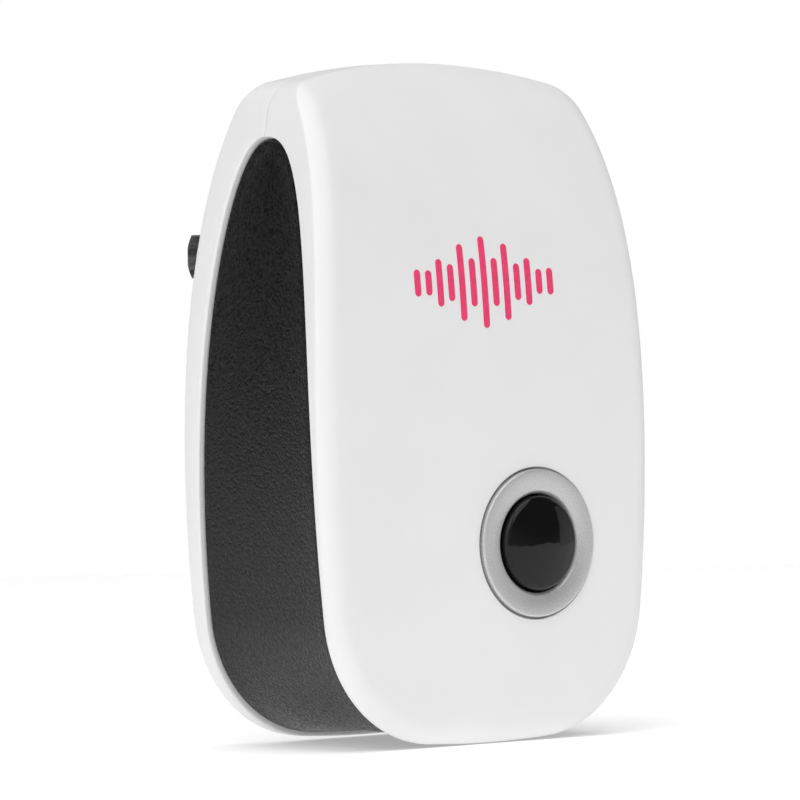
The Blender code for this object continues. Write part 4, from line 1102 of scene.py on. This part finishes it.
def floor():
    skin = Skin()
    skin.fill([circle(0.0, SEAM_Y, FLOOR_RADIUS, 96)], 0.1,
              lambda x, y: Vector((x, y, BOTTOM_Z - FLOOR_DROP)))
    paint = Finish("floor_paper", (0.93, 0.93, 0.93), 0.8)
    paint.tint(paint.noise(0.4, 2), 0.005)
    paint.shader.inputs["Emission Color"].default_value = (1, 1, 1, 1)
    paint.shader.inputs["Emission Strength"].default_value = FLOOR_GLOW
    item = skin.piece("floor", paint.material)


def softbox(name, turn, tilt, size, power):
    """A square soft light. Turn 0 is in front of the object, negative to its left."""
    data = bpy.data.lights.new(name, "AREA")
    data.shape = "RECTANGLE"
    data.size = data.size_y = size
    data.energy = power
    item = bpy.data.objects.new(name, data)
    bpy.context.scene.collection.objects.link(item)
    away = heading(turn, tilt)
    item.location = Vector((0.0, SEAM_Y, (TOP_Z + BOTTOM_Z) / 2)) + away * LIGHT_DISTANCE
    item.rotation_euler = (-away).to_track_quat("-Z", "Y").to_euler()


def dark_patch(nodes, links, turn, tilt, spread, full, share):
    """A value that falls from full to a share of it round a direction of the world."""
    spread = radians(spread)
    facing = nodes.new("ShaderNodeVectorMath")
    facing.operation = "DOT_PRODUCT"
    facing.inputs[1].default_value = heading(turn, tilt)
    links.new(nodes.new("ShaderNodeTexCoord").outputs["Generated"], facing.inputs[0])
    shade = nodes.new("ShaderNodeMapRange")
    shade.interpolation_type = "SMOOTHSTEP"
    for socket, value in (("From Min", cos(spread)), ("From Max", cos(spread * 0.6)),
                          ("To Min", full), ("To Max", full * share)):
        shade.inputs[socket].default_value = value
    links.new(facing.outputs["Value"], shade.inputs["Value"])
    return shade.outputs["Result"]


def surroundings():
    """A pale studio that the camera sees as plain white. It gives less light from two dark parts,
    in front on the right and behind on the left."""
    world = bpy.data.worlds.new("studio")
    world.use_nodes = True
    nodes, links = world.node_tree.nodes, world.node_tree.links
    both = nodes.new("ShaderNodeMath")
    both.operation = "MULTIPLY"
    links.new(dark_patch(nodes, links, 42, 38, 52, STUDIO_LIGHT, 0.12), both.inputs[0])
    links.new(dark_patch(nodes, links, -142, 22, 34, 1.0, 0.1), both.inputs[1])
    seen = nodes.new("ShaderNodeMix")
    seen.inputs["B"].default_value = 1.0
    links.new(nodes.new("ShaderNodeLightPath").outputs["Is Camera Ray"], seen.inputs["Factor"])
    links.new(both.outputs["Value"], seen.inputs["A"])
    links.new(seen.outputs["Result"], nodes["Background"].inputs["Strength"])
    nodes["Background"].inputs["Color"].default_value = (1, 1, 1, 1)
    bpy.context.scene.world = world
    bpy.context.scene.view_settings.view_transform = "Standard"


def lights():
    softbox("key_left", -65, 8, 0.9, 2.3)
    softbox("high_left", -65, 45, 0.9, 3.8)
    softbox("high_front", 0, 45, 0.9, 4.1)
    softbox("side_left", -100, 8, 0.9, 1.5)
    softbox("fill_right", 75, 12, 0.9, 1.4)
    softbox("top", 0, 89, 1.0, 6.0)
    surroundings()


# ---------------------------------------------------------------- making

camera()
white = white_plastic()
front_cover(white)
front_posts(white)
rear_cover(white)
seam_tongue(white)
side_band(black_plastic())
button_ring(silver_paint())
button_dome(gloss_black())
blades(plated("nickel_plate", (0.25, 0.245, 0.24), 0.34, (1, 0.12, 1)))
label(coated("label_film", (0.62, 0.63, 0.64), 0.35, 0.8 * MM, 0.03, 0.004 * MM, 0.6))
sound_mark(ink())
steel = dress_inner_nodes()
case_screws(steel)
spring_coil(steel)
floor()
lights()
